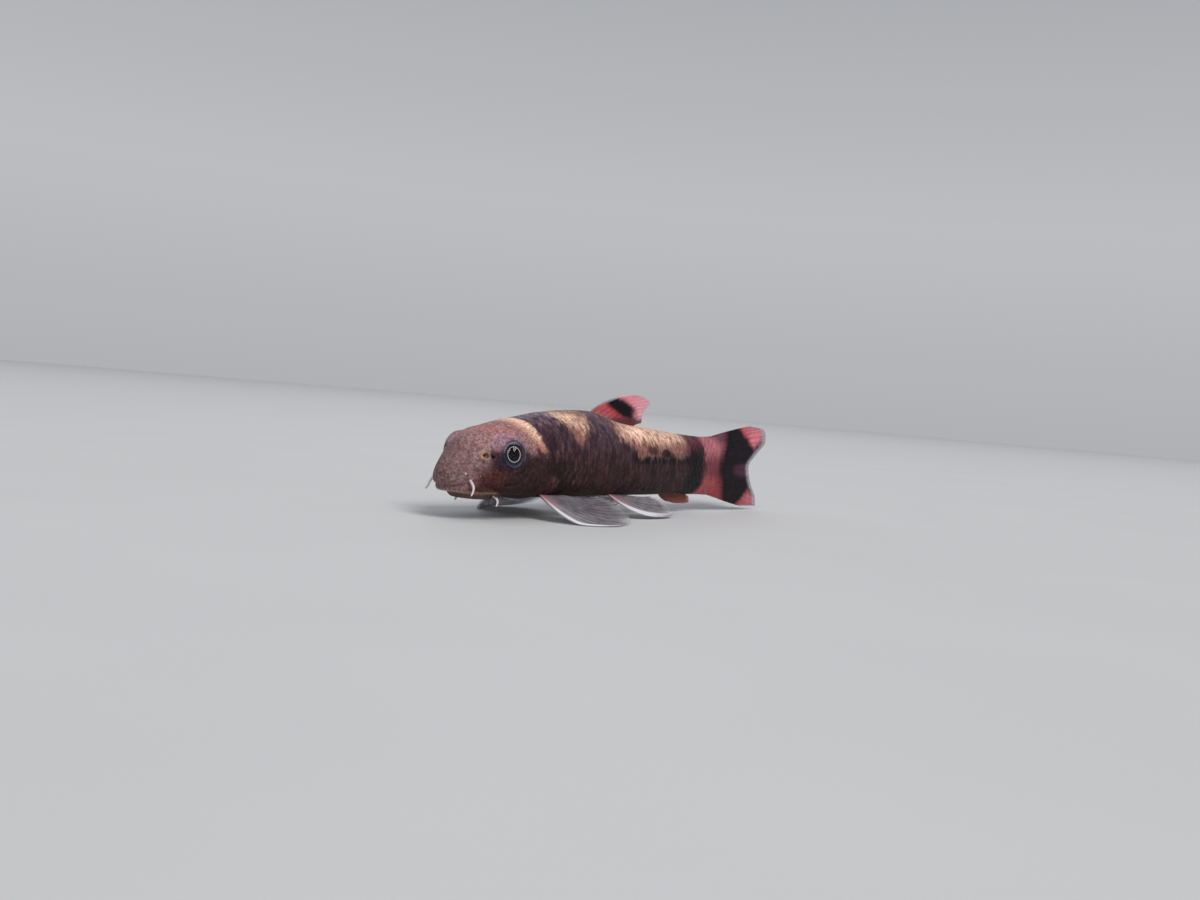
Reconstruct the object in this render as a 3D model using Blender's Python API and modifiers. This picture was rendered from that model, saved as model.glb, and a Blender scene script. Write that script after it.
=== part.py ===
"""Panda garra, a still life-size model of a small bottom-living fish propped on its fins.

Metres, +Z up. The head points towards -X and the fish's left side faces -Y.
Every length and place along the fish is a share of its standard length, from the
snout to the root of the tail fin: a place is (along, across, height), in hundredths
of that length, with along measured back from the snout, across positive towards the
fish's right, and height measured up from the floor.
"""

import math

import bmesh
import bpy
import numpy as np

# Driving sizes, in metres
STANDARD_LENGTH = 0.050
HUNDREDTH = STANDARD_LENGTH / 100
GAP = 0.0003
COLLECTION_NAME = "panda_garra"
CUTTER_COLLECTION_NAME = "cutters"
FORM_COLLECTION_NAME = "forms_joined_to_the_head"

# Body sections, in hundredths: along, height of back, height of belly, half width, widest level
BODY_SECTIONS = (
    (0.0, 9.4, 9.4, 0.0, 9.4),
    (0.3, 11.1, 7.9, 2.1, 9.0),
    (1.2, 12.8, 6.9, 3.3, 8.7),
    (2.5, 14.3, 6.3, 4.4, 8.5),
    (4.2, 16.1, 5.9, 5.5, 8.8),
    (7.0, 18.1, 5.5, 7.0, 9.5),
    (10.8, 19.4, 5.2, 8.3, 10.6),
    (16.0, 21.0, 4.8, 9.1, 11.4),
    (22.3, 22.3, 4.6, 9.4, 12.0),
    (29.7, 23.7, 4.5, 9.3, 12.6),
    (36.6, 24.4, 4.5, 9.0, 13.0),
    (44.0, 24.7, 4.6, 8.5, 13.2),
    (50.0, 23.5, 4.7, 8.1, 13.1),
    (58.0, 22.2, 4.7, 7.5, 12.9),
    (68.0, 21.6, 4.7, 6.4, 12.8),
    (78.0, 20.8, 4.8, 5.3, 12.6),
    (86.5, 20.3, 4.7, 4.2, 12.6),
    (94.0, 20.1, 4.6, 3.0, 12.4),
    (100.0, 20.4, 4.4, 1.7, 12.4),
)
BODY_END = 100.0

# How boxy a section is, over its back and under its belly: along, exponent
BACK_ROUNDNESS = ((0.0, 1.8), (5.0, 1.95), (11.0, 2.2), (20.0, 2.15), (45.0, 2.2), (100.0, 2.2))
BELLY_ROUNDNESS = ((0.0, 2.3), (8.0, 3.0), (30.0, 2.9), (85.0, 2.2), (100.0, 2.2))

# The tail swings gently to the fish's right, from behind the gills
SWEEP_START = 23.0
SWEEP_AT_TAIL_TIP = 2.1
TAIL_TIP = 128.0

# Gill opening, from the nape down to the throat: share of a half turn, along
GILL_OPENING = ((0.0, 19.5), (0.25, 21.6), (0.45, 23.2), (0.62, 23.2), (0.8, 21.0), (1.0, 16.5))
VENT_ALONG = 74.0

# Eyes
EYE_PLACE = (12.2, 8.5, 14.4)
EYE_RADIUS = 3.25
EYE_DEPTH = 2.2
EYE_TILT_UP = math.radians(8)
EYE_TURN_FORWARD = math.radians(10)

# Soft swellings and hollows on each side of the head: along, height, reach along, reach up, how proud
HEAD_RELIEF = (
    (12.2, 14.4, 4.2, 3.8, 0.60),
    (11.8, 17.9, 2.3, 1.7, 0.40),
    (7.2, 13.8, 1.6, 1.3, -0.25),
    (9.0, 8.6, 3.4, 2.0, 0.25),
    (19.2, 11.2, 3.6, 4.4, 0.30),
    (5.6, 10.6, 0.8, 3.0, -0.22),
)
RELIEF_STARTS_ACROSS = 2.0
RELIEF_FULL_ACROSS = 4.5

# The gill cover's edge stands proud of the flank behind it
GILL_EDGE_PROUD = 0.30
GILL_EDGE_REACH = 1.0
FLANK_DIP = 0.40
FLANK_DIP_REACH = 2.2

# Mouth, seen from below: a sucking disc behind the fold of the upper lip
DISC_PLACE = (9.2, 0.0)
DISC_HALF_LENGTH = 4.3
DISC_HALF_WIDTH = 5.2
DISC_PROFILE = ((0.0, 4.0), (0.42, 4.1), (0.56, 4.7), (0.70, 4.5), (0.88, 4.1), (0.98, 4.4), (1.0, 5.1))
DISC_TOP = 7.0
DISC_SIDES = 28
LIP_FOLD_RADIUS = 0.00033
LIP_FOLD_HALF_LENGTH = 7.2
LIP_FOLD_HALF_WIDTH = 6.2
LIP_FOLD_SPREAD = math.radians(105)
LIP_FOLD_SUNK = 0.30
MOUTH_ARC_PLACES = 25
MOUTH_ARC_END_SHARE = 0.4
MOUTH_SLIT_RADIUS = 0.00022
MOUTH_SLIT_HALF_LENGTH = 5.1
MOUTH_SLIT_HALF_WIDTH = 5.65
MOUTH_SLIT_SPREAD = math.radians(100)
MOUTH_SLIT_SUNK = 0.10

# Nostrils
NOSTRIL_PLACE = (6.8, 13.8)
NOSTRIL_RING_RADIUS = 0.00040
NOSTRIL_RING_THICKNESS = 0.00014
NOSTRIL_FLAP_PLACE = (7.45, 13.8)
NOSTRIL_FLAP_SIZE = (0.00016, 0.00040, 0.00042)
NOSTRIL_HOLE_SIZE = (0.00022, 0.00022, 0.00030)
BACK_NOSTRIL_PLACE = (7.95, 13.8)
BACK_NOSTRIL_SIZE = (0.00020, 0.00032, 0.00030)

# Fins: each is a fan of rays, its outline read from the first ray to the last, where a ray
# runs from its root past its knee to its tip
DORSAL_FIN = {
    "rays": 10,
    "rows": 8,
    "root": ((45.2, 0.0, 23.6), (49.0, 0.0, 22.5), (53.0, 0.0, 21.8), (57.0, 0.0, 21.2), (61.5, 0.0, 20.9)),
    "knee": ((52.4, 0.0, 28.8), (56.6, 0.0, 27.7), (60.0, 0.0, 26.4), (62.4, 0.0, 24.4), (63.6, 0.0, 22.4)),
    "tip": ((62.6, 0.0, 29.4), (67.2, 0.0, 28.9), (69.4, 0.0, 27.6), (67.0, 0.0, 25.4), (66.4, 0.0, 22.6)),
}
ANAL_FIN = {
    "rays": 7,
    "rows": 6,
    "root": ((75.6, 0.0, 5.9), (77.6, 0.0, 5.9), (79.5, 0.0, 5.9), (81.5, 0.0, 6.0), (83.5, 0.0, 6.0)),
    "knee": ((76.8, 0.0, 3.8), (80.0, 0.0, 3.4), (83.0, 0.0, 3.5), (85.0, 0.0, 4.1), (86.0, 0.0, 4.9)),
    "tip": ((80.0, 0.0, 2.9), (86.0, 0.0, 2.3), (90.4, 0.0, 2.6), (90.2, 0.0, 3.8), (88.4, 0.0, 4.8)),
}
UPPER_TAIL_FIN = {
    "rays": 9,
    "rows": 9,
    "root": ((98.4, 0.0, 20.3), (98.4, 0.0, 18.4), (98.4, 0.0, 16.6), (98.4, 0.0, 14.7), (98.4, 0.0, 12.8)),
    "knee": ((107.5, 0.0, 22.3), (112.0, 0.0, 21.4), (112.0, 0.0, 18.4), (110.5, 0.0, 15.4),
             (109.0, 0.0, 12.6)),
    "tip": ((118.6, 0.0, 23.9), (126.4, 0.0, 23.0), (128.0, 0.0, 19.6), (123.6, 0.0, 16.0),
            (119.5, 0.0, 12.5)),
}
LOWER_TAIL_FIN = {
    "rays": 9,
    "rows": 9,
    "root": ((98.4, 0.0, 12.1), (98.4, 0.0, 10.2), (98.4, 0.0, 8.4), (98.4, 0.0, 6.5), (98.4, 0.0, 4.6)),
    "knee": ((109.0, 0.0, 11.9), (110.5, 0.0, 9.4), (112.0, 0.0, 6.8), (110.5, 0.0, 4.2), (106.0, 0.0, 2.8)),
    "tip": ((119.5, 0.0, 11.8), (121.4, 0.0, 7.6), (124.6, 0.0, 3.6), (125.2, 0.0, 0.9), (117.0, 0.0, 1.0)),
}
PECTORAL_FIN = {
    "rays": 13,
    "rows": 10,
    "root": ((24.0, 5.6, 6.3), (25.4, 5.5, 6.2), (26.8, 5.3, 6.1), (28.2, 5.1, 6.0), (29.6, 4.9, 5.9)),
    "knee": ((24.2, 19.8, -2.2), (29.5, 17.6, -0.6), (34.0, 14.2, 1.2), (36.6, 11.0, 2.6), (38.0, 8.0, 3.4)),
    "tip": ((36.0, 19.8, 0.3), (42.2, 17.2, 0.6), (46.0, 13.0, 1.9), (48.0, 9.2, 3.0), (47.0, 6.0, 3.6)),
}
PELVIC_FIN = {
    "rays": 9,
    "rows": 8,
    "root": ((50.0, 4.2, 5.6), (51.0, 4.0, 5.5), (52.0, 3.8, 5.5), (53.0, 3.6, 5.4), (54.0, 3.4, 5.4)),
    "knee": ((51.4, 11.6, 2.0), (56.0, 9.8, 1.9), (60.0, 7.6, 2.2), (62.0, 5.6, 2.8), (63.0, 4.0, 3.3)),
    "tip": ((64.6, 9.6, 0.7), (69.6, 8.6, 0.3), (71.6, 6.6, 1.0), (71.2, 4.6, 2.0), (69.0, 2.8, 3.0)),
}
FIN_STEPS = (0.0, 0.25, 0.5, 0.75, 1.0)
RAY_THICKNESS = 0.00080
RAY_TIP_SHARE = 0.68
MEMBRANE_SHARE = 0.68
MEMBRANE_TIP_SHARE = 0.52
EDGE_NOTCH = 0.015
LOWEST_MIDDLE = 0.45

# Feelers round the mouth: each bends through these places, from inside the head to its tip
SNOUT_BARBEL = ((4.4, 4.3, 8.8), (3.7, 5.6, 8.3), (3.6, 6.5, 7.4), (3.3, 6.8, 6.4), (2.7, 6.9, 5.5))
MOUTH_BARBEL = ((10.8, 4.6, 5.6), (11.2, 5.6, 5.0), (11.4, 6.0, 4.4), (11.2, 6.2, 3.8), (10.8, 6.3, 3.2))
BARBEL_RADIUS = 0.00028
BARBEL_TIP_SHARE = 0.55
BARBEL_RINGS = 9

# Mesh fineness
SIDES = 48
HEAD_RINGS = 36
TORSO_RINGS = 18
TAIL_RINGS = 9
CLEARANCE_RINGS = 60
EYE_SIDES = 16
EYE_RINGS = 12
BALL_SIDES = 12
BALL_RINGS = 8
NOSTRIL_RING_PLACES = 15

# Steps for the directions of the skin, in hundredths along and in radians around
ALONG_STEP = 0.2
TURN_STEP = 0.02
TURNS_TRIED = 181

# Colours
FLESH = (0.17, 0.10, 0.09, 1.0)
CLEAR_FIN = (0.45, 0.40, 0.40, 1.0)
RED_FIN = (0.62, 0.12, 0.11, 1.0)
EYE_BLACK = (0.02, 0.02, 0.03, 1.0)
FEELER = (0.55, 0.45, 0.42, 1.0)


def smooth_curve(knots, values, at):
    """Reads a smooth curve through the knots, without overshoot, at one or many places."""
    knots = np.asarray(knots, float)
    values = np.asarray(values, float)
    at = np.asarray(at, float)
    steps = np.diff(knots)
    rises = np.diff(values) / steps
    before, after = rises[:-1], rises[1:]
    middle = (before * steps[1:] + after * steps[:-1]) / (steps[1:] + steps[:-1])
    limit = 3 * np.minimum(np.abs(before), np.abs(after))
    middle = np.where(before * after > 0, np.clip(middle, -limit, limit), 0.0)
    slopes = np.concatenate(([rises[0]], middle, [rises[-1]]))
    cell = np.clip(np.searchsorted(knots, at, side="right") - 1, 0, len(steps) - 1)
    share = np.clip((at - knots[cell]) / steps[cell], 0.0, 1.0)
    width = steps[cell]
    return (values[cell] * (1 + 2 * share) * (1 - share) ** 2
            + values[cell + 1] * share ** 2 * (3 - 2 * share)
            + slopes[cell] * width * share * (1 - share) ** 2
            - slopes[cell + 1] * width * share ** 2 * (1 - share))


def read_table(table, at):
    """Reads a smooth curve through the pairs of a table."""
    knots, values = zip(*table)
    return smooth_curve(knots, values, at)


def sweep(along):
    """Sideways shift of the body's middle where the tail swings."""
    behind = np.clip(np.asarray(along, float) - SWEEP_START, 0, None)
    return SWEEP_AT_TAIL_TIP * (behind / (TAIL_TIP - SWEEP_START)) ** 2


def body_section(along):
    """Back height, belly height, half width and widest level at a place along."""
    sections = np.asarray(BODY_SECTIONS)
    knots = np.sqrt(sections[:, 0])
    at = np.sqrt(np.clip(along, 0, BODY_END))
    return [smooth_curve(knots, sections[:, column], at) for column in range(1, 5)]


def body_point(along, turn):
    """A point of the plain body, where turn goes from the back (0) by the left side (pi/2) to the belly."""
    back, belly, half_width, widest = body_section(along)
    upper = np.cos(turn) > 0
    power = 2 / np.where(upper, read_table(BACK_ROUNDNESS, along), read_table(BELLY_ROUNDNESS, along))
    side = np.sign(np.sin(turn)) * np.abs(np.sin(turn)) ** power
    rise = np.abs(np.cos(turn)) ** power
    height = np.where(upper, widest + (back - widest) * rise, widest - (widest - belly) * rise)
    return np.stack([np.asarray(along, float), -half_width * side, height], axis=-1)


def relief(along, turn):
    """How far the skin stands proud of the plain body, or sinks below it, in hundredths."""
    plain = body_point(along, turn)
    across = np.abs(plain[..., 1])
    height = plain[..., 2]
    edge = gill_opening(turn)
    on_head = along < edge
    beside = np.clip((across - RELIEF_STARTS_ACROSS) / (RELIEF_FULL_ACROSS - RELIEF_STARTS_ACROSS), 0, 1)
    proud = np.zeros(np.shape(along))
    for place, level, reach_along, reach_up, amount in HEAD_RELIEF:
        away = ((along - place) / reach_along) ** 2 + ((height - level) / reach_up) ** 2
        proud += amount * np.exp(-away)
    fades = np.exp(-((edge - along) / GILL_EDGE_REACH) ** 2)
    proud = np.where(on_head, proud + GILL_EDGE_PROUD * fades, 0.0)
    dip = -FLANK_DIP * np.exp(-(along - edge) / FLANK_DIP_REACH)
    return beside * np.where(on_head, proud, dip)


def body_surface(along, turn, proud=0.0):
    """A point of the finished body, standing proud of its skin by so many hundredths."""
    along = np.asarray(along, float)
    turn = np.asarray(turn, float)
    before = body_point(np.maximum(along - ALONG_STEP, 0.0), turn)
    ahead = body_point(along + ALONG_STEP, turn) - before
    around = body_point(along, turn + TURN_STEP) - body_point(along, turn - TURN_STEP)
    outward = np.cross(around, ahead)
    length = np.linalg.norm(outward, axis=-1, keepdims=True)
    snout = np.array([-1.0, 0.0, 0.0])
    outward = np.where(length > 1e-9, outward / np.maximum(length, 1e-9), snout)
    outward = np.where((along < 1e-6)[..., None], snout, outward)
    point = body_point(along, turn) + outward * (relief(along, turn) + proud)[..., None]
    point[..., 1] += sweep(along)
    return point


def gill_opening(turn):
    """How far along the gill opening lies at a turn around the body."""
    half_turn = np.abs((np.asarray(turn) + math.pi) % (2 * math.pi) - math.pi) / math.pi
    return read_table(GILL_OPENING, half_turn)


def in_metres(points):
    """Places in hundredths as coordinates in metres."""
    return np.asarray(points) * HUNDREDTH


def material(name, colour, roughness=0.35, metallic=0.0):
    """A plain surface finish."""
    finish = bpy.data.materials.new(name)
    finish.use_nodes = True
    shader = finish.node_tree.nodes["Principled BSDF"]
    shader.inputs["Base Color"].default_value = colour
    shader.inputs["Roughness"].default_value = roughness
    shader.inputs["Metallic"].default_value = metallic
    return finish


def new_object(name, mesh, finish, collection):
    """Puts a mesh in the scene as a named object, smoothly shaded."""
    piece = bpy.data.objects.new(name, mesh)
    collection.objects.link(piece)
    mesh.materials.append(finish)
    mesh.shade_smooth()
    return piece


def unrolled_grid(columns, rows):
    """A flat grid as a mesh under way, with the column and row of each of its points."""
    skin = bmesh.new()
    bmesh.ops.create_grid(skin, x_segments=columns, y_segments=rows, size=1.0)
    skin.verts.ensure_lookup_table()
    shares = np.array([(vertex.co.x / 2 + 0.5, vertex.co.y / 2 + 0.5) for vertex in skin.verts])
    return skin, shares


def move_points(skin, points):
    """Sets the points of a mesh under way."""
    for vertex, point in zip(skin.verts, points.tolist()):
        vertex.co = point


def finish_mesh(skin, name):
    """Turns a mesh under way into a mesh whose faces point outwards."""
    bmesh.ops.recalc_face_normals(skin, faces=skin.faces)
    if skin.calc_volume(signed=True) < 0:
        bmesh.ops.reverse_faces(skin, faces=skin.faces)
    mesh = bpy.data.meshes.new(name)
    skin.to_mesh(mesh)
    skin.free()
    return mesh


def length_of_body(name, start, end, rings, finish, collection, proud=0.0):
    """One closed length of the body between two cuts, each cut a function of the turn."""
    skin, shares = unrolled_grid(SIDES, rings)
    turn = shares[:, 0] * 2 * math.pi
    first = np.sqrt(start(turn))
    last = np.sqrt(end(turn))
    along = (first + (last - first) * shares[:, 1]) ** 2
    move_points(skin, in_metres(body_surface(along, turn, proud)))
    bmesh.ops.remove_doubles(skin, verts=skin.verts, dist=1e-6)
    open_edges = [edge for edge in skin.edges if edge.is_boundary]
    caps = bmesh.ops.holes_fill(skin, edges=open_edges, sides=0)["faces"]
    bmesh.ops.poke(skin, faces=caps)
    bmesh.ops.triangulate(skin, faces=skin.faces)
    return new_object(name, finish_mesh(skin, name), finish, collection)


def at_place(along):
    """A straight cut across the body."""
    return lambda turn: np.full(np.shape(turn), along, float)


def apply_modifiers(piece):
    """Makes an object's evaluated shape its own mesh."""
    evaluated = piece.evaluated_get(bpy.context.evaluated_depsgraph_get())
    mesh = bpy.data.meshes.new_from_object(evaluated)
    piece.modifiers.clear()
    piece.data = mesh
    return piece


def keep_largest_surface(piece):
    """Drops every closed surface of a mesh but its largest."""
    skin = bmesh.new()
    skin.from_mesh(piece.data)
    unseen = set(skin.verts)
    islands = []
    while unseen:
        border = [unseen.pop()]
        island = list(border)
        while border:
            vertex = border.pop()
            for edge in vertex.link_edges:
                neighbour = edge.other_vert(vertex)
                if neighbour in unseen:
                    unseen.remove(neighbour)
                    border.append(neighbour)
                    island.append(neighbour)
        islands.append(island)
    islands.sort(key=len, reverse=True)
    for island in islands[1:]:
        bmesh.ops.delete(skin, geom=island, context="VERTS")
    skin.to_mesh(piece.data)
    skin.free()
    return piece


def cut(piece, cutters):
    """Takes the cutters away from a piece."""
    for cutter in cutters:
        modifier = piece.modifiers.new("cut", "BOOLEAN")
        modifier.operation = "DIFFERENCE"
        modifier.solver = "EXACT"
        modifier.object = cutter
    return keep_largest_surface(apply_modifiers(piece))


def rest_on_floor(piece):
    """Flattens whatever would reach below the floor into a small flat on it."""
    for vertex in piece.data.vertices:
        vertex.co.z = max(vertex.co.z, 0.0)
    return piece


def eye(name, side, finish, collection, clearance=0.0):
    """An eyeball, a little flattened from side to side and turned up and forward."""
    skin = bmesh.new()
    bmesh.ops.create_uvsphere(skin, u_segments=EYE_SIDES, v_segments=EYE_RINGS, radius=1.0)
    radius = EYE_RADIUS * HUNDREDTH + clearance
    depth = EYE_DEPTH * HUNDREDTH + clearance
    ball = np.array([tuple(vertex.co) for vertex in skin.verts])
    outward = np.array([-math.sin(EYE_TURN_FORWARD),
                        side * math.cos(EYE_TURN_FORWARD) * math.cos(EYE_TILT_UP),
                        math.sin(EYE_TILT_UP)])
    outward /= np.linalg.norm(outward)
    backward = np.cross(outward, (0.0, 0.0, side * 1.0))
    backward /= np.linalg.norm(backward)
    upward = np.cross(backward, outward) * side
    frame = np.stack([backward, upward, outward])
    centre = in_metres((EYE_PLACE[0], side * EYE_PLACE[1], EYE_PLACE[2]))
    move_points(skin, (ball * (radius, radius, depth)) @ frame + centre)
    return new_object(name, finish_mesh(skin, name), finish, collection)


def fin_surface(outline, across, out):
    """The middle of a fin, across its rays and out along them."""
    lines = []
    for part in ("root", "knee", "tip"):
        points = np.array(outline[part])
        line = [smooth_curve(FIN_STEPS, points[:, axis], across) for axis in range(3)]
        lines.append(np.stack(line, axis=-1))
    root, knee, tip = lines
    out = out[:, None]
    points = root * (1 - out) ** 2 + knee * 2 * out * (1 - out) + tip * out ** 2
    points[:, 2] = np.maximum(points[:, 2], LOWEST_MIDDLE)
    return points


def fin(name, outline, finish, collection, body_clearance, side=1):
    """A fin as one closed sheet ridged by its rays, cut to meet the body face to face."""
    columns = 2 * outline["rays"] - 2
    skin, shares = unrolled_grid(columns, outline["rows"])
    on_membrane = np.rint(shares[:, 0] * columns) % 2
    reach = 1 - EDGE_NOTCH * on_membrane
    points = fin_surface(outline, shares[:, 0], shares[:, 1] * reach)
    points[:, 1] = points[:, 1] * side + sweep(points[:, 0])
    move_points(skin, in_metres(points))
    bmesh.ops.triangulate(skin, faces=skin.faces)
    mesh = bpy.data.meshes.new(name)
    skin.to_mesh(mesh)
    skin.free()
    piece = new_object(name, mesh, finish, collection)
    ray = 1.0 - (1.0 - RAY_TIP_SHARE) * shares[:, 1]
    membrane = MEMBRANE_SHARE + (MEMBRANE_TIP_SHARE - MEMBRANE_SHARE) * shares[:, 1]
    thickness_share = np.where(on_membrane > 0, membrane, ray)
    group = piece.vertex_groups.new(name="thickness")
    for number, share in enumerate(thickness_share.tolist()):
        group.add([number], share, "REPLACE")
    sheet = piece.modifiers.new("thickness", "SOLIDIFY")
    sheet.thickness = RAY_THICKNESS
    sheet.offset = 0.0
    sheet.vertex_group = group.name
    apply_modifiers(piece)
    cut(piece, [body_clearance])
    return rest_on_floor(piece)


def barbel(name, route, side, finish, collection, body_clearance):
    """A short feeler that tapers to its tip."""
    steps = np.linspace(0.0, 1.0, len(route))
    shares = np.linspace(0.0, 1.0, BARBEL_RINGS)
    bends = np.array(route)
    places = np.stack([smooth_curve(steps, bends[:, axis], shares) for axis in range(3)], axis=-1)
    places = in_metres(places * (1.0, side, 1.0))
    sizes = 1.0 - (1.0 - BARBEL_TIP_SHARE) * shares
    piece = tube_along(name, places, BARBEL_RADIUS, finish, collection, sizes)
    return cut(piece, [body_clearance])


def tube_along(name, places, radius, finish, collection, sizes=None):
    """A round tube along places in metres, closed at both ends, as a mesh object."""
    curve = bpy.data.curves.new(name, "CURVE")
    curve.dimensions = "3D"
    curve.bevel_depth = radius
    curve.bevel_resolution = 1
    curve.use_fill_caps = True
    line = curve.splines.new("POLY")
    line.points.add(len(places) - 1)
    sizes = np.ones(len(places)) if sizes is None else sizes
    for point, place, size in zip(line.points, places, sizes):
        point.co = (*place, 1.0)
        point.radius = size
    drawn = bpy.data.objects.new(name, curve)
    collection.objects.link(drawn)
    bpy.context.view_layer.update()
    mesh = bpy.data.meshes.new_from_object(drawn.evaluated_get(bpy.context.evaluated_depsgraph_get()))
    bpy.data.objects.remove(drawn)
    skin = bmesh.new()
    skin.from_mesh(mesh)
    bmesh.ops.remove_doubles(skin, verts=skin.verts, dist=1e-6)
    bpy.data.meshes.remove(mesh)
    return new_object(name, finish_mesh(skin, name), finish, collection)


def round_the_mouth(half_length, half_width, spread, sunk):
    """Places in metres along an arc on the head's underside, round the front of the mouth."""
    angles = np.linspace(-spread, spread, MOUTH_ARC_PLACES)
    places = []
    for angle in angles:
        along = DISC_PLACE[0] - half_length * math.cos(angle)
        across = DISC_PLACE[1] + half_width * math.sin(angle)
        turns = np.linspace(0.5, 1.5, TURNS_TRIED) * math.pi
        levels = body_point(np.full(turns.shape, along), turns)[:, 1]
        turn = np.interp(across, levels, turns)
        places.append(body_surface(along, turn, -sunk))
    return in_metres(places)


def mouth_arc_sizes():
    """Shares of full thickness along an arc round the mouth, fading towards both of its ends."""
    return 1.0 - (1.0 - MOUTH_ARC_END_SHARE) * np.abs(np.linspace(-1.0, 1.0, MOUTH_ARC_PLACES)) ** 3


def lip_fold(finish, collection):
    """The fold of the upper lip, round the front of the snout's underside."""
    places = round_the_mouth(LIP_FOLD_HALF_LENGTH, LIP_FOLD_HALF_WIDTH, LIP_FOLD_SPREAD, LIP_FOLD_SUNK)
    return tube_along("lip_fold", places, LIP_FOLD_RADIUS, finish, collection, mouth_arc_sizes())


def mouth_slit(finish, collection):
    """The cutter of the slit between the upper lip and the disc."""
    places = round_the_mouth(MOUTH_SLIT_HALF_LENGTH, MOUTH_SLIT_HALF_WIDTH,
                             MOUTH_SLIT_SPREAD, MOUTH_SLIT_SUNK)
    return tube_along("mouth_slit", places, MOUTH_SLIT_RADIUS, finish, collection, mouth_arc_sizes())


def sucking_disc(finish, collection):
    """The disc of the lower lip: a raised pad in a groove, inside a rounded rim, turned and stretched."""
    outline = [(share, height) for share, height in DISC_PROFILE] + [(1.0, DISC_TOP), (0.0, DISC_TOP)]
    skin = bmesh.new()
    points = [skin.verts.new((share, 0.0, height)) for share, height in outline]
    edges = [skin.edges.new(pair) for pair in zip(points, points[1:])]
    bmesh.ops.spin(skin, geom=points + edges, cent=(0, 0, 0), axis=(0, 0, 1),
                   angle=2 * math.pi, steps=DISC_SIDES)
    bmesh.ops.remove_doubles(skin, verts=skin.verts, dist=1e-5)
    skin.verts.ensure_lookup_table()
    turned = np.array([tuple(vertex.co) for vertex in skin.verts])
    stretched = turned * (DISC_HALF_LENGTH, DISC_HALF_WIDTH, 1.0) + (DISC_PLACE[0], DISC_PLACE[1], 0.0)
    move_points(skin, in_metres(stretched))
    bmesh.ops.triangulate(skin, faces=skin.faces)
    return new_object("sucking_disc", finish_mesh(skin, "sucking_disc"), finish, collection)


def side_place(along, height, side):
    """The turn and the outward direction of the skin at a height on one side."""
    turns = np.linspace(0.05, 0.95, TURNS_TRIED) * math.pi
    levels = body_point(np.full(turns.shape, along), turns)[:, 2]
    turn = float(np.interp(-height, -levels, turns))
    turn = turn if side < 0 else 2 * math.pi - turn
    skin_point = body_surface(np.array([along]), np.array([turn]))[0]
    above = body_surface(np.array([along]), np.array([turn]), np.array([1.0]))[0]
    return skin_point, above - skin_point


def turned_to(outward):
    """Rows of a frame whose third row points outwards and whose first row points back along the fish."""
    outward = outward / np.linalg.norm(outward)
    backward = np.array([1.0, 0.0, 0.0])
    backward -= outward * backward.dot(outward)
    backward /= np.linalg.norm(backward)
    return np.stack([backward, np.cross(outward, backward), outward])


def round_form(name, size, place, outward, finish, collection):
    """A ball stretched to a size, set at a place on the skin."""
    skin = bmesh.new()
    bmesh.ops.create_uvsphere(skin, u_segments=BALL_SIDES, v_segments=BALL_RINGS, radius=1.0)
    ball = np.array([tuple(vertex.co) for vertex in skin.verts])
    move_points(skin, (ball * size) @ turned_to(outward) + in_metres(place))
    return new_object(name, finish_mesh(skin, name), finish, collection)


def nostril(side, finish, forms, cutters):
    """One nostril: a low ring with a hole, and a flap before a second hole. Gives the holes' cutters."""
    place, outward = side_place(*NOSTRIL_PLACE, side)
    around = np.linspace(0.0, 2 * math.pi, NOSTRIL_RING_PLACES)
    circle = np.stack([np.cos(around), np.sin(around), np.zeros(NOSTRIL_RING_PLACES)], axis=-1)
    circle = (circle * NOSTRIL_RING_RADIUS) @ turned_to(outward) + in_metres(place)
    name = "nostril_right" if side > 0 else "nostril_left"
    tube_along(name + "_ring", circle, NOSTRIL_RING_THICKNESS, finish, forms)
    flap_place, flap_outward = side_place(*NOSTRIL_FLAP_PLACE, side)
    round_form(name + "_flap", NOSTRIL_FLAP_SIZE, flap_place, flap_outward, finish, forms)
    hole = round_form(name + "_hole", NOSTRIL_HOLE_SIZE, place, outward, finish, cutters)
    back_place, back_outward = side_place(*BACK_NOSTRIL_PLACE, side)
    back_hole = round_form(name + "_back_hole", BACK_NOSTRIL_SIZE, back_place, back_outward, finish, cutters)
    return [hole, back_hole]


def join(piece, forms):
    """Unites a piece with the forms that grow from it."""
    modifier = piece.modifiers.new("join", "BOOLEAN")
    modifier.operation = "UNION"
    modifier.solver = "EXACT"
    modifier.operand_type = "COLLECTION"
    modifier.collection = forms
    modifier.use_self = True
    keep_largest_surface(apply_modifiers(piece))
    for form in list(forms.objects):
        bpy.data.objects.remove(form)
    return piece


def hide(cutter):
    """Leaves a cutter out of the render."""
    cutter.hide_render = True
    cutter.display_type = "WIRE"
    return cutter


def centre_on_floor(collection):
    """Moves the whole fish so that the middle of its box stands over the origin."""
    corners = [vertex.co for piece in collection.objects for vertex in piece.data.vertices]
    places = np.array([tuple(corner) for corner in corners])
    middle = (places.min(axis=0) + places.max(axis=0)) / 2
    for piece in collection.objects:
        for vertex in piece.data.vertices:
            vertex.co.x -= middle[0]
            vertex.co.y -= middle[1]


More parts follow.
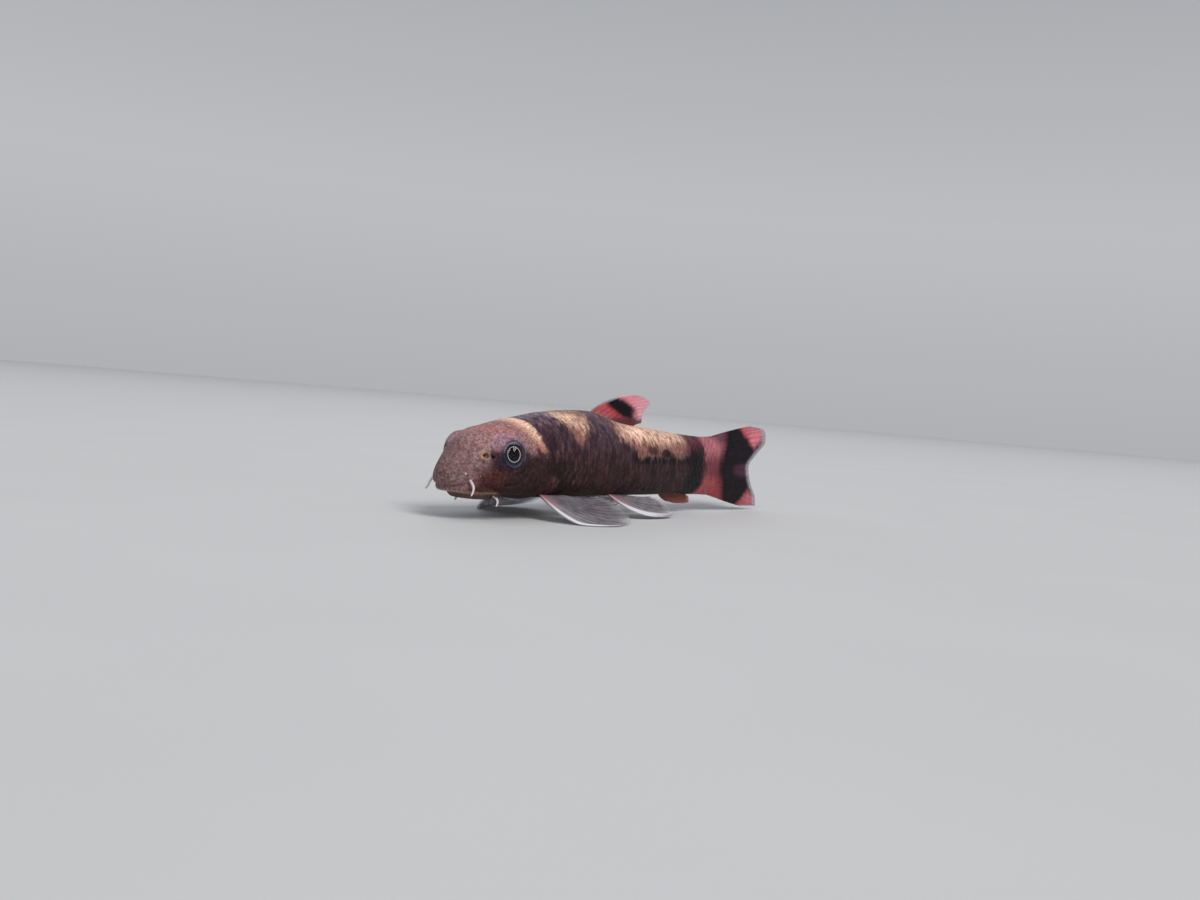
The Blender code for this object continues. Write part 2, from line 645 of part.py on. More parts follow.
def main():
    """Builds the fish, node by node."""
    for left_over in list(bpy.data.objects):
        bpy.data.objects.remove(left_over)
    collection = bpy.data.collections.new(COLLECTION_NAME)
    cutters = bpy.data.collections.new(CUTTER_COLLECTION_NAME)
    forms = bpy.data.collections.new(FORM_COLLECTION_NAME)
    for group in (collection, cutters, forms):
        bpy.context.scene.collection.children.link(group)

    flesh = material("flesh", FLESH)
    fin_skin = material("fin_skin", CLEAR_FIN, 0.3)
    red_fin = material("red_fin", RED_FIN, 0.35)
    eye_skin = material("eye_surface", EYE_BLACK, 0.08)
    feeler_skin = material("feeler_skin", FEELER, 0.35)

    half_gap = GAP / HUNDREDTH / 2
    clearance = hide(length_of_body("body_clearance", at_place(0.0), at_place(BODY_END), CLEARANCE_RINGS,
                                    flesh, cutters, 2 * half_gap))

    head = length_of_body("head", at_place(0.0), lambda turn: gill_opening(turn) - half_gap,
                          HEAD_RINGS, flesh, collection)
    length_of_body("torso", lambda turn: gill_opening(turn) + half_gap, at_place(VENT_ALONG - half_gap),
                   TORSO_RINGS, flesh, collection)
    length_of_body("tail", at_place(VENT_ALONG + half_gap), at_place(BODY_END),
                   TAIL_RINGS, flesh, collection)

    lip_fold(flesh, forms)
    sucking_disc(flesh, forms)
    head_cutters = [mouth_slit(flesh, cutters)]
    for side, side_name in ((-1, "left"), (1, "right")):
        head_cutters += nostril(side, flesh, forms, cutters)
        head_cutters.append(eye("socket_" + side_name, side, flesh, cutters, GAP))
        eye("eye_" + side_name, side, eye_skin, collection)
        fin("pectoral_fin_" + side_name, PECTORAL_FIN, fin_skin, collection, clearance, side)
        fin("pelvic_fin_" + side_name, PELVIC_FIN, fin_skin, collection, clearance, side)
        barbel("snout_barbel_" + side_name, SNOUT_BARBEL, side, feeler_skin, collection, clearance)
        barbel("mouth_barbel_" + side_name, MOUTH_BARBEL, side, feeler_skin, collection, clearance)
    join(head, forms)
    cut(head, [hide(cutter) for cutter in head_cutters])

    fin("dorsal_fin", DORSAL_FIN, red_fin, collection, clearance)
    fin("anal_fin", ANAL_FIN, red_fin, collection, clearance)
    fin("caudal_fin_upper", UPPER_TAIL_FIN, red_fin, collection, clearance)
    fin("caudal_fin_lower", LOWER_TAIL_FIN, red_fin, collection, clearance)
    centre_on_floor(collection)


main()
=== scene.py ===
import math

import bpy
import numpy as np
from mathutils import Matrix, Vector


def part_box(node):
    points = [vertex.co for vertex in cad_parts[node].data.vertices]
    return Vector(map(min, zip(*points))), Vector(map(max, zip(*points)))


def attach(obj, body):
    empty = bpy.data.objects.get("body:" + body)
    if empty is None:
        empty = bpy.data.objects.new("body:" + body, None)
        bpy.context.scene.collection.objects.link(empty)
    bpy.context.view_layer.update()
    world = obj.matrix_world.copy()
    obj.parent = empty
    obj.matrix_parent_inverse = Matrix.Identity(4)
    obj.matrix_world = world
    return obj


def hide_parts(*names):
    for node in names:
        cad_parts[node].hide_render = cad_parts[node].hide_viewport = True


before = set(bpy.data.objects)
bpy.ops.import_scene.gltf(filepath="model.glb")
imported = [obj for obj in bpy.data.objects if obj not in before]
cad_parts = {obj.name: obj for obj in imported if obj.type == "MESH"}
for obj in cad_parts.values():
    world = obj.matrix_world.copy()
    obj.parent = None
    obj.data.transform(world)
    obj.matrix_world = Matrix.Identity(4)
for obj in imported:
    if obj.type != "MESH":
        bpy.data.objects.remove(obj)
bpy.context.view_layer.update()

bl_info = {
    "name": "Panda Garra",
    "version": (1, 0, 0),
    "blender": (4, 5, 0),
    "location": "View3D > Sidebar > Garra",
    "description": "Skin, scales, eyes, fins and feelers of a panda garra, fitted round its solids",
    "category": "Object",
}

# The fish's own measure: a hundredth of its standard length. A place is (along, across, height) in
# hundredths: back from the snout, towards the fish's right, and up from the floor.
STANDARD_LENGTH = 0.050
HUNDREDTH = STANDARD_LENGTH / 100
SNOUT_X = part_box("head")[0].x
MIDDLE_Y = (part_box("eye_left")[0].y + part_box("eye_right")[1].y) / 2

# Body sections: along, height of back, height of belly, half width, widest level
BODY_SECTIONS = (
    (0.0, 9.4, 9.4, 0.0, 9.4),
    (0.3, 11.1, 7.9, 2.1, 9.0),
    (1.2, 12.8, 6.9, 3.3, 8.7),
    (2.5, 14.3, 6.3, 4.4, 8.5),
    (4.2, 16.1, 5.9, 5.5, 8.8),
    (7.0, 18.1, 5.5, 7.0, 9.5),
    (10.8, 19.4, 5.2, 8.3, 10.6),
    (16.0, 21.0, 4.8, 9.1, 11.4),
    (22.3, 22.3, 4.6, 9.4, 12.0),
    (29.7, 23.7, 4.5, 9.3, 12.6),
    (36.6, 24.4, 4.5, 9.0, 13.0),
    (44.0, 24.7, 4.6, 8.5, 13.2),
    (50.0, 23.5, 4.7, 8.1, 13.1),
    (58.0, 22.2, 4.7, 7.5, 12.9),
    (68.0, 21.6, 4.7, 6.4, 12.8),
    (78.0, 20.8, 4.8, 5.3, 12.6),
    (86.5, 20.3, 4.7, 4.2, 12.6),
    (94.0, 20.1, 4.6, 3.0, 12.4),
    (100.0, 20.4, 4.4, 1.35, 12.4),
    (102.6, 20.3, 4.5, 0.62, 12.4),
    (104.6, 19.8, 5.0, 0.0, 12.4),
)
BODY_END = 104.6
SIDES = ((-1, "left"), (1, "right"))
BACK_ROUNDNESS = ((0.0, 1.8), (5.0, 1.95), (11.0, 2.2), (20.0, 2.15), (45.0, 2.2), (104.6, 2.2))
BELLY_ROUNDNESS = ((0.0, 2.3), (8.0, 3.0), (30.0, 2.9), (85.0, 2.2), (104.6, 2.2))
SWEEP_START = 23.0
SWEEP_AT_TAIL_TIP = 2.1
TAIL_TIP = 128.0
GILL_OPENING = ((0.0, 19.5), (0.25, 21.6), (0.45, 23.2), (0.62, 23.2), (0.8, 21.0), (1.0, 16.5))
ALONG_STEP = 0.2
TURN_STEP = 0.02

# Soft swellings and hollows of the head: along, height, reach along, reach up, how proud
HEAD_RELIEF = (
    (12.2, 14.4, 4.2, 3.8, 0.60),
    (11.8, 17.9, 2.3, 1.7, 0.40),
    (7.2, 13.8, 1.6, 1.3, -0.25),
    (9.0, 8.6, 3.4, 2.0, 0.25),
    (19.2, 11.2, 3.6, 4.4, 0.30),
    (5.6, 10.6, 0.8, 3.0, -0.22),
)
RELIEF_STARTS_ACROSS = 2.0
RELIEF_FULL_ACROSS = 4.5
GILL_EDGE_PROUD = 0.30
GILL_EDGE_REACH = 1.0
FLANK_DIP = 0.40
FLANK_DIP_REACH = 2.2

# Creases of the cheek, as arcs: middle along, middle height, radius, width, depth
CREASES = (
    (12.4, 13.4, 5.6, 0.35, 0.20),
    (13.0, 12.6, 7.6, 0.30, 0.12),
)

# Eyes: the ball's place, size and tilt, the skin's lid and socket round it, the iris and the dome
EYE_PLACE = (12.2, 8.5, 14.4)
EYE_RADIUS = 3.25
EYE_DEPTH = 2.2
EYE_TILT_UP = math.radians(8)
EYE_TURN_FORWARD = math.radians(10)
LID_EDGE = 3.08
LID_THICKNESS = 0.06
LID_LEAST = 0.02
LID_ROUND = 0.22
LID_TURN = 0.35
LID_SLOPE = 0.55
LID_REACH = 4.7
EYE_SIDE_FROM = -2.5
SOCKET_FLOOR = -0.4
IRIS_LEVEL = 0.30
IRIS_FALL = 0.06
BALL_SHARE = 0.95
PUPIL_RADIUS = 0.49
DOME_SHARE = 0.955
DOME_BULGE = 1.36
LID_RIM = 0.14
LID_SUNK = 0.02

# Mouth, seen from below: middle, half length and half width of the disc, its turned profile, and
# folds and slit round it: half length, half width, how far round, how proud, how wide
DISC_ALONG = 9.2
DISC_HALF_LENGTH = 4.3
DISC_HALF_WIDTH = 5.2
DISC_PROFILE = ((0.0, 4.45), (0.42, 4.5), (0.56, 4.9), (0.68, 4.8), (0.82, 4.5), (0.94, 4.75), (1.12, 5.7))
DISC_RIM = 1.12
UNDERSIDE = (9.0, 7.6)
LIP_FOLD = (7.3, 6.3, math.radians(112), 0.62, 0.50)
LIP_GROOVE = (8.1, 7.0, math.radians(100), -0.30, 0.28)
MOUTH_SLIT = (5.5, 5.9, math.radians(100), -0.45, 0.28)

# Nostrils: places along and up, and sizes of the ring, its hole, the flap and the hole behind
NOSTRIL_PLACE = (6.8, 13.8)
NOSTRIL_RING = 0.80
NOSTRIL_RING_WIDTH = 0.32
NOSTRIL_RING_PROUD = 0.42
NOSTRIL_HOLE = 0.46
NOSTRIL_DEPTH = 0.6
NOSTRIL_FLAP = 0.28
NOSTRIL_DEEPEST = 1.5
BACK_NOSTRIL_BEHIND = 1.30
BACK_NOSTRIL_HALF = (0.26, 0.5)

# Fins: each is a fan of rays, from the first ray to the last, where a ray runs from its root past
# its knee to its tip
DORSAL_FIN = {
    "rays": 10,
    "root": ((45.2, 0.0, 23.6), (49.0, 0.0, 22.5), (53.0, 0.0, 21.8), (57.0, 0.0, 21.2), (61.5, 0.0, 20.9)),
    "knee": ((52.4, 0.0, 28.8), (56.6, 0.0, 27.7), (60.0, 0.0, 26.4), (62.4, 0.0, 24.4), (63.6, 0.0, 22.4)),
    "tip": ((62.6, 0.0, 29.4), (67.2, 0.0, 28.9), (69.4, 0.0, 27.6), (67.0, 0.0, 25.4), (66.4, 0.0, 22.6)),
}
ANAL_FIN = {
    "rays": 7,
    "root": ((75.6, 0.0, 5.9), (77.6, 0.0, 5.9), (79.5, 0.0, 5.9), (81.5, 0.0, 6.0), (83.5, 0.0, 6.0)),
    "knee": ((76.8, 0.0, 3.8), (80.0, 0.0, 3.4), (83.0, 0.0, 3.5), (85.0, 0.0, 4.1), (86.0, 0.0, 4.9)),
    "tip": ((80.0, 0.0, 2.9), (86.0, 0.0, 2.3), (90.4, 0.0, 2.6), (90.2, 0.0, 3.8), (88.4, 0.0, 4.8)),
}
CAUDAL_FIN = {
    "rays": 19,
    "root": ((98.4, 0.0, 20.2), (98.6, 0.0, 18.3), (98.8, 0.0, 16.4), (98.8, 0.0, 14.4), (98.8, 0.0, 12.4),
             (98.8, 0.0, 10.3), (98.8, 0.0, 8.4), (98.6, 0.0, 6.5), (98.4, 0.0, 4.6)),
    "knee": ((107.5, 0.0, 22.2), (112.0, 0.0, 21.3), (112.0, 0.0, 18.4), (110.5, 0.0, 15.4),
             (109.5, 0.0, 12.3), (110.5, 0.0, 9.4), (112.0, 0.0, 6.8), (110.5, 0.0, 4.2), (106.0, 0.0, 2.9)),
    "tip": ((118.6, 0.0, 23.8), (126.4, 0.0, 22.9), (127.9, 0.0, 19.6), (123.6, 0.0, 16.0),
            (119.6, 0.0, 12.2), (121.4, 0.0, 7.6), (124.6, 0.0, 3.6), (125.1, 0.0, 1.0), (117.0, 0.0, 1.1)),
}
PECTORAL_FIN = {
    "rays": 13,
    "root": ((24.0, 5.9, 5.9), (25.4, 5.6, 6.0), (26.8, 5.3, 6.0), (28.2, 5.1, 6.0), (29.6, 4.9, 5.9)),
    "knee": ((24.6, 19.8, -3.0), (29.5, 17.6, -0.9), (34.0, 14.6, 1.4), (36.2, 11.6, 3.0), (36.4, 9.0, 4.4)),
    "tip": ((37.2, 19.6, 0.0), (43.0, 17.4, 0.5), (46.0, 13.6, 2.2), (45.6, 10.2, 4.1), (42.4, 7.6, 5.4)),
}
PELVIC_FIN = {
    "rays": 9,
    "root": ((50.0, 4.2, 5.6), (51.0, 4.0, 5.5), (52.0, 3.8, 5.5), (53.0, 3.6, 5.4), (54.0, 3.4, 5.4)),
    "knee": ((52.6, 12.6, 0.0), (57.0, 11.0, 0.7), (60.4, 9.0, 1.9), (62.6, 7.0, 3.3), (63.0, 5.4, 4.4)),
    "tip": ((67.6, 10.4, 0.5), (70.9, 9.0, 0.9), (71.2, 7.4, 2.4), (69.8, 5.8, 3.8), (66.8, 4.6, 4.9)),
}
COLUMNS_BETWEEN_RAYS = 12
FIN_ROWS = 44
LOWEST_MIDDLE = 0.26
FLOOR_BEND = 0.5
BRANCH_START = 0.38
BRANCH_SPREAD = 0.21
RAY_WIDTH = 0.13
RAY_TIP_SHARE = 0.36
MEMBRANE_TIP_SHARE = 0.45
EDGE_NOTCH = 0.010
EDGE_FRAY = 0.006
FRAY_WAVES = (17.3, 7.1)
PLEAT = 0.12
PAIRED_RAY_SHARE = 0.55

# Feelers: each bends through these places, from inside the head to its tip
SNOUT_BARBEL = ((4.4, 4.3, 8.8), (3.7, 5.6, 8.3), (3.6, 6.5, 7.4), (3.3, 6.8, 6.4), (2.7, 6.9, 5.5))
MOUTH_BARBEL = ((10.8, 4.6, 5.6), (11.2, 5.6, 5.0), (11.4, 6.0, 4.4), (11.2, 6.2, 3.8), (10.8, 6.3, 3.2))
BARBEL_RADIUS = 0.34
BARBEL_TIP_SHARE = 0.5
BARBEL_RINGS = 60
BARBEL_RING_DEPTH = 0.05
BARBEL_ROUND_FROM = 0.90
BARBEL_ROOT_SHARE = 0.05
BARBEL_STEP = 0.02
BARBEL_SIDES = 20
BARBEL_ROWS = 40

# Fineness of the skin, and the head's length before its rows are fitted to the gill opening
SKIN_SIDES = 288
HEAD_ROWS = 196
BODY_ROWS = 132
HEAD_LENGTH = 22.0
SNOUT_CROWDING = 1.35
GILL_STEP = 0.12

# Scales: where their coat begins behind the gill opening and ends, and each one's form
SCALES_START = 1.2
SCALES_END = 96.0
SCALES_FIRST = 21.0
SCALES_SPAN_START = 22.5
SCALES_SEAM = 98.0
SKIN_SUNK_SHARE = 0.55
SCALE_CELLS = 4
SCALE_LENGTH_SHARE = 1.55
SCALE_FRONT_SUNK = 0.15
SCALE_THICKNESS = 0.05
SCALE_WIDTH_SHARE = 1.08
SCALE_SEAT_BACK = 0.30
SCALE_WIDEST = 0.40
SCALE_FRONT_HALF = 0.82
SCALE_FLAT_SHARE = 0.12
SCALE_LEAST_HALF = 0.34
SCALE_TIP_ROUND = 0.12
SCALE_ROUND = 0.03
SCALE_SIZE_SPREAD = 0.10
SCALE_LIFT_SPREAD = 0.02
SEAT_BEHIND = 0.35
FIRST_SCALE_SHARE = 0.72
CHEST_BARE_SHARE = 0.16
CHEST_BARE_UNTIL = 47.0
SCALE_PATCH = 0.0015
SCALE_CHANCE = 7
SCALE_RIDGES = 1400.0
SEAT_SHARE = 0.35

# Small white bumps on the snout: along, height, radius
TUBERCLES = ((3.0, 9.9, 0.22), (4.9, 11.6, 0.11), (2.2, 12.2, 0.10), (5.6, 9.6, 0.10), (1.4, 9.6, 0.10))
TUBERCLE_HEIGHT_SHARE = 0.8

# Marks of the skin: spans over which one fades in or out, or where it begins and ends, along or up,
# and soft spots: place along and up, then reach
FLANK_TURNS = (11.0, 19.0)
BACK_TURNS = (19.0, 23.0)
SHEEN = (40.0, 48.5)
FLANK_LINE = (13.0, 14.8)
# Span of the painted shade on the lower flank behind the gill opening.
GILL_SHADE_SPAN = (23.5, 30.0)
SECOND_SADDLE = 34.0
MAIN_SADDLE_FRONT = (47.6, 50.2)
MAIN_SADDLE_BACK = (85.0, 77.0)
MAIN_SADDLE_FOOT = 15.0
MAIN_SADDLE_FRONT_RISE = 3.6
SADDLE_GLOW = ((58.5, 20.0), (4.0, 2.6))
SADDLE_CORNER = ((58.8, 16.8), (2.0, 2.8))
SADDLE_NOTCH = ((63.6, 16.2), (3.0, 1.1))
DARK_SPOT = ((70.4, 15.6), (2.4, 1.1))
RUDDY_SPAN = (81.0, 91.0)
TAIL_STALK_BAND = (80.5, 84.0)
TAIL_ROOT = 91.8
SKIN_TAIL_BAND = (102.0, 106.0)
TAIL_BAND = 104.4
TAIL_MIDDLE = ((116.5, 11.2), (6.0, 2.1))
UPPER_TIP = (121.6, 20.8)
LOWER_TIP = (120.2, 2.8)
GILL_PATCH = ((25.2, 8.2), (1.7, 1.9))
FLECKED = (24.0, 44.0)
HEAD_END = 19.0
CRESCENT_ALONG = 18.3
CRESCENT_TOP = 21.5
PEARL_ALONG = 21.9
PEARL_SPAN = (12.8, 14.6)
CROWN_SPOT = ((12.3, 19.0), (3.0, 1.5))
CHEEK_RUST = ((7.8, 8.6), (3.4, 2.0))
RUST_STREAK = ((10.2, 10.5), (3.8, 0.55))
BLOTCH_PLACE = (52.0, 28.1)
BLOTCH_MIDDLE = 59.0

# Camera: place in hundredths, and angles, as the photo was taken; its sensor and lens in
# millimetres, and the nearest and farthest that it sees in metres
CAMERA_PLACE = (-169.1, -181.6, 26.5)
CAMERA_AZIMUTH = math.radians(-50.468)
CAMERA_ELEVATION = math.radians(2.200)
CAMERA_ROLL = math.radians(4.819)
CAMERA_SENSOR = 36.0
CAMERA_LENS = 36.0
CAMERA_SEES = (0.005, 20.0)

# Studio lights: place and size in metres, power in watts, and colour
LIGHTS = {
    "key": ((-1.0, -3.4, 3.5), 2.4, 160.0, (1.0, 0.97, 0.93)),
    "top": ((0.6, 0.2, 5.0), 3.0, 18.0, (1.0, 0.98, 0.96)),
    "front": ((-3.6, -1.4, 2.0), 2.0, 26.0, (1.0, 0.98, 0.96)),
    "rim": ((3.0, 2.8, 2.0), 1.6, 10.0, (0.93, 0.96, 1.0)),
}
FLOOR_SIZE = 5.0
FLOOR_COLOURS = ((0.60, 0.61, 0.62), (0.64, 0.65, 0.66))

# The studio round the floor: height on a globe, and colour
WORLD_COLOURS = ((0.0, (0.432, 0.440, 0.456)), (0.16, (0.50, 0.51, 0.53)), (0.6, (0.27, 0.28, 0.31)))


# Reading curves and the body's form

def smooth_curve(knots, values, at):
    """Reads a smooth curve through the knots, without overshoot, at one or many places."""
    knots = np.asarray(knots, float)
    values = np.asarray(values, float)
    at = np.asarray(at, float)
    steps = np.diff(knots)
    rises = np.diff(values) / steps
    before, after = rises[:-1], rises[1:]
    middle = (before * steps[1:] + after * steps[:-1]) / (steps[1:] + steps[:-1])
    limit = 3 * np.minimum(np.abs(before), np.abs(after))
    middle = np.where(before * after > 0, np.clip(middle, -limit, limit), 0.0)
    slopes = np.concatenate(([rises[0]], middle, [rises[-1]]))
    cell = np.clip(np.searchsorted(knots, at, side="right") - 1, 0, len(steps) - 1)
    share = np.clip((at - knots[cell]) / steps[cell], 0.0, 1.0)
    width = steps[cell]
    return (values[cell] * (1 + 2 * share) * (1 - share) ** 2
            + values[cell + 1] * share ** 2 * (3 - 2 * share)
            + slopes[cell] * width * share * (1 - share) ** 2
            - slopes[cell + 1] * width * share ** 2 * (1 - share))


def smooth_line(places, at):
    """Places on a smooth line through some places, at shares of it."""
    places = np.asarray(places, float)
    knots = np.linspace(0.0, 1.0, len(places))
    return np.stack([smooth_curve(knots, places[:, axis], at) for axis in range(3)], axis=-1)


def read_table(table, at):
    """Reads a smooth curve through the pairs of a table."""
    knots, values = zip(*table)
    return smooth_curve(knots, values, at)


def ease(low, high, value):
    """A smooth rise from 0 at low to 1 at high, or a fall where low is the higher."""
    share = np.clip((np.asarray(value, float) - low) / (high - low), 0.0, 1.0)
    return share * share * (3 - 2 * share)


def bump(distance, width):
    """A soft bump of height 1 at no distance."""
    return np.exp(-(distance / width) ** 2)


def sweep(along):
    """Sideways shift of the body's middle where the tail swings."""
    behind = np.clip(np.asarray(along, float) - SWEEP_START, 0, None)
    return SWEEP_AT_TAIL_TIP * (behind / (TAIL_TIP - SWEEP_START)) ** 2


def body_section(along):
    """Back height, belly height, half width and widest level at a place along."""
    sections = np.asarray(BODY_SECTIONS)
    knots = np.sqrt(sections[:, 0])
    at = np.sqrt(np.clip(along, 0, BODY_END))
    return [smooth_curve(knots, sections[:, column], at) for column in range(1, 5)]


def body_point(along, turn):
    """A point of the plain body, where turn goes from the back by the left side to the belly."""
    back, belly, half_width, widest = body_section(along)
    upper = np.cos(turn) > 0
    power = 2 / np.where(upper, read_table(BACK_ROUNDNESS, along), read_table(BELLY_ROUNDNESS, along))
    side = np.sign(np.sin(turn)) * np.abs(np.sin(turn)) ** power
    rise = np.abs(np.cos(turn)) ** power
    height = np.where(upper, widest + (back - widest) * rise, widest - (widest - belly) * rise)
    return np.stack([np.asarray(along, float), -half_width * side, height], axis=-1)


def gill_opening(turn):
    """How far along the gill opening lies at a turn around the body."""
    half_turn = np.abs((np.asarray(turn) + math.pi) % (2 * math.pi) - math.pi) / math.pi
    return read_table(GILL_OPENING, half_turn)


def relief(plain, turn):
    """How far the skin stands proud of the plain body, or sinks below it, in hundredths."""
    along, height = plain[..., 0], plain[..., 2]
    edge = gill_opening(turn)
    beside = ease(RELIEF_STARTS_ACROSS, RELIEF_FULL_ACROSS, np.abs(plain[..., 1]))
    proud = GILL_EDGE_PROUD * bump(edge - along, GILL_EDGE_REACH)
    for place, level, reach_along, reach_up, amount in HEAD_RELIEF:
        away = ((along - place) / reach_along) ** 2 + ((height - level) / reach_up) ** 2
        proud = proud + amount * np.exp(-away)
    for place, level, radius, width, depth in CREASES:
        behind, above = along - place, height - level
        on_arc = ease(1.0, -2.0, above) * ease(-5.0, -1.0, behind)
        proud = proud - depth * on_arc * bump(np.hypot(behind, above) - radius, width)
    dip = -FLANK_DIP * np.exp(-np.clip(along - edge, 0, None) / FLANK_DIP_REACH)
    return beside * np.where(along < edge, proud, dip)


def body_surface(along, turn, proud=0.0):
    """A place on the body's surface, and the direction out of it, without the tail's swing."""
    along = np.asarray(along, float)
    turn = np.asarray(turn, float)
    before = body_point(np.maximum(along - ALONG_STEP, 0.0), turn)
    ahead = body_point(np.minimum(along + ALONG_STEP, BODY_END), turn) - before
    around = body_point(along, turn + TURN_STEP) - body_point(along, turn - TURN_STEP)
    outward = np.cross(around, ahead)
    length = np.linalg.norm(outward, axis=-1, keepdims=True)
    snout = np.array([-1.0, 0.0, 0.0])
    outward = np.where(length > 1e-9, outward / np.maximum(length, 1e-9), snout)
    outward = np.where((along < 1e-6)[..., None], snout, outward)
    plain = body_point(along, turn)
    return plain + outward * (relief(plain, turn) + proud)[..., None], outward


def swung(places):
    """Places with the tail's swing."""
    moved = np.array(places, float)
    moved[..., 1] += sweep(moved[..., 0])
    return moved


def in_frame(places):
    """Places in hundredths as coordinates in metres in the solids' frame."""
    return np.asarray(places) * HUNDREDTH + (SNOUT_X, MIDDLE_Y, 0.0)


def side_place(along, height, side):
    """A place on the skin at a height on one side, and the direction out of it."""
    turns = np.linspace(0.05, 0.95, 181) * math.pi
    levels = body_point(np.full(turns.shape, along), turns)[:, 2]
    turn = float(np.interp(-height, -levels, turns))
    turn = turn if side < 0 else 2 * math.pi - turn
    place, outward = body_surface(np.array([along]), np.array([turn]))
    return place[0], outward[0]


def turned_to(outward):
    """Rows of a frame whose third row points outwards and whose first row points back along the fish."""
    backward = np.array([1.0, 0.0, 0.0])
    backward = backward - outward * backward.dot(outward)
    backward = backward / np.linalg.norm(backward)
    return np.stack([backward, np.cross(outward, backward), outward])


def eye_place(side):
    """The middle of an eye."""
    return np.array(EYE_PLACE) * (1, side, 1)


def eye_frame(side):
    """Rows of an eye's frame: backward, upward and outward."""
    outward = np.array([-math.sin(EYE_TURN_FORWARD),
                        side * math.cos(EYE_TURN_FORWARD) * math.cos(EYE_TILT_UP),
                        math.sin(EYE_TILT_UP)])
    outward = outward / np.linalg.norm(outward)
    backward = np.cross(outward, (0.0, 0.0, side * 1.0))
    backward = backward / np.linalg.norm(backward)
    return np.stack([backward, np.cross(backward, outward) * side, outward])


def even_turns():
    """A table of turns that stand evenly round the girth, and the places along that its rows hold."""
    along = np.linspace(0.2, 1.0, 90) ** 2 * BODY_END
    turns = np.linspace(0.0, 2 * math.pi, 721)
    shares = np.linspace(0.0, 1.0, 361)
    rows = []
    for place in along:
        points = body_point(np.full(turns.shape, min(place, BODY_END - 0.3)), turns)
        run = np.concatenate([[0.0], np.cumsum(np.linalg.norm(np.diff(points, axis=0), axis=1))])
        rows.append(np.interp(shares, run / run[-1], turns))
    return along, np.array(rows)


TURN_ROWS, TURN_TABLE = even_turns()


def turn_at(along, share):
    """The turn that stands at a share of the girth, counted from the back by the left side."""
    whole = np.floor(share)
    column = (share - whole) * (TURN_TABLE.shape[1] - 1)
    left = np.minimum(column.astype(int), TURN_TABLE.shape[1] - 2)
    row = np.interp(along, TURN_ROWS, np.arange(len(TURN_ROWS)))
    upper = np.minimum(row.astype(int), len(TURN_ROWS) - 2)
    across, down = column - left, row - upper
    near = TURN_TABLE[upper, left] * (1 - across) + TURN_TABLE[upper, left + 1] * across
    far = TURN_TABLE[upper + 1, left] * (1 - across) + TURN_TABLE[upper + 1, left + 1] * across
    return near * (1 - down) + far * down + whole * 2 * math.pi


# Making pieces

def select_only(piece):
    """Leaves one piece selected and active."""
    bpy.ops.object.select_all(action="DESELECT")
    piece.select_set(True)
    bpy.context.view_layer.objects.active = piece


def points_of(piece):
    """The points of a piece as an array."""
    flat = np.empty(len(piece.data.vertices) * 3)
    piece.data.vertices.foreach_get("co", flat)
    return flat.reshape(-1, 3)


def set_points(piece, points):
    """Moves the points of a piece."""
    piece.data.vertices.foreach_set("co", np.ascontiguousarray(points, dtype=np.float32).ravel())
    piece.data.update()


def add(name, adder, **sizes):
    """Adds a primitive, light or camera, with all else deselected, under a name."""
    bpy.ops.object.select_all(action="DESELECT")
    adder(**sizes)
    piece = bpy.context.object
    piece.name = name
    return piece


def add_grid(name, columns, rows):
    """Adds a flat grid, and gives the share across and the share along of each of its points."""
    piece = add(name, bpy.ops.mesh.primitive_grid_add, x_subdivisions=columns, y_subdivisions=rows, size=2.0)
    piece.data.name = name
    points = points_of(piece)
    return piece, points[:, 0] / 2 + 0.5, points[:, 1] / 2 + 0.5


def note(piece, name, values):
    """Writes three numbers on each point of a piece, for its finish to read."""
    attribute = piece.data.attributes.new(name, "FLOAT_VECTOR", "POINT")
    attribute.data.foreach_set("vector", np.ascontiguousarray(values, dtype=np.float32).ravel())


def apply_modifiers(piece):
    """Applies every modifier of a piece, in order."""
    select_only(piece)
    for modifier in list(piece.modifiers):
        bpy.ops.object.modifier_apply(modifier=modifier.name)


def close_up(piece, reach=1e-7):
    """Merges a closed piece's seams and poles, turns its faces outwards and shades it smoothly."""
    select_only(piece)
    bpy.ops.object.mode_set(mode="EDIT")
    bpy.ops.mesh.select_all(action="SELECT")
    bpy.ops.mesh.remove_doubles(threshold=reach)
    bpy.ops.mesh.normals_make_consistent(inside=False)
    bpy.ops.object.mode_set(mode="OBJECT")
    piece.data.calc_loop_triangles()
    corners = np.empty(len(piece.data.loop_triangles) * 3, np.int32)
    piece.data.loop_triangles.foreach_get("vertices", corners)
    a, b, c = points_of(piece)[corners.reshape(-1, 3)].transpose(1, 0, 2)
    if np.einsum("ij,ij->i", a, np.cross(b, c)).sum() < 0:
        piece.data.flip_normals()
    bpy.ops.object.shade_smooth()


def settle(piece, finish, slot, *nodes):
    """Gives a finished piece its finish, and says what it rides on and what it replaces; its slot is not
    used.
    """
    piece.data.materials.clear()
    piece.data.materials.append(finish)
    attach(piece, "root")
    if nodes:
        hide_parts(*nodes)


# Writing finishes

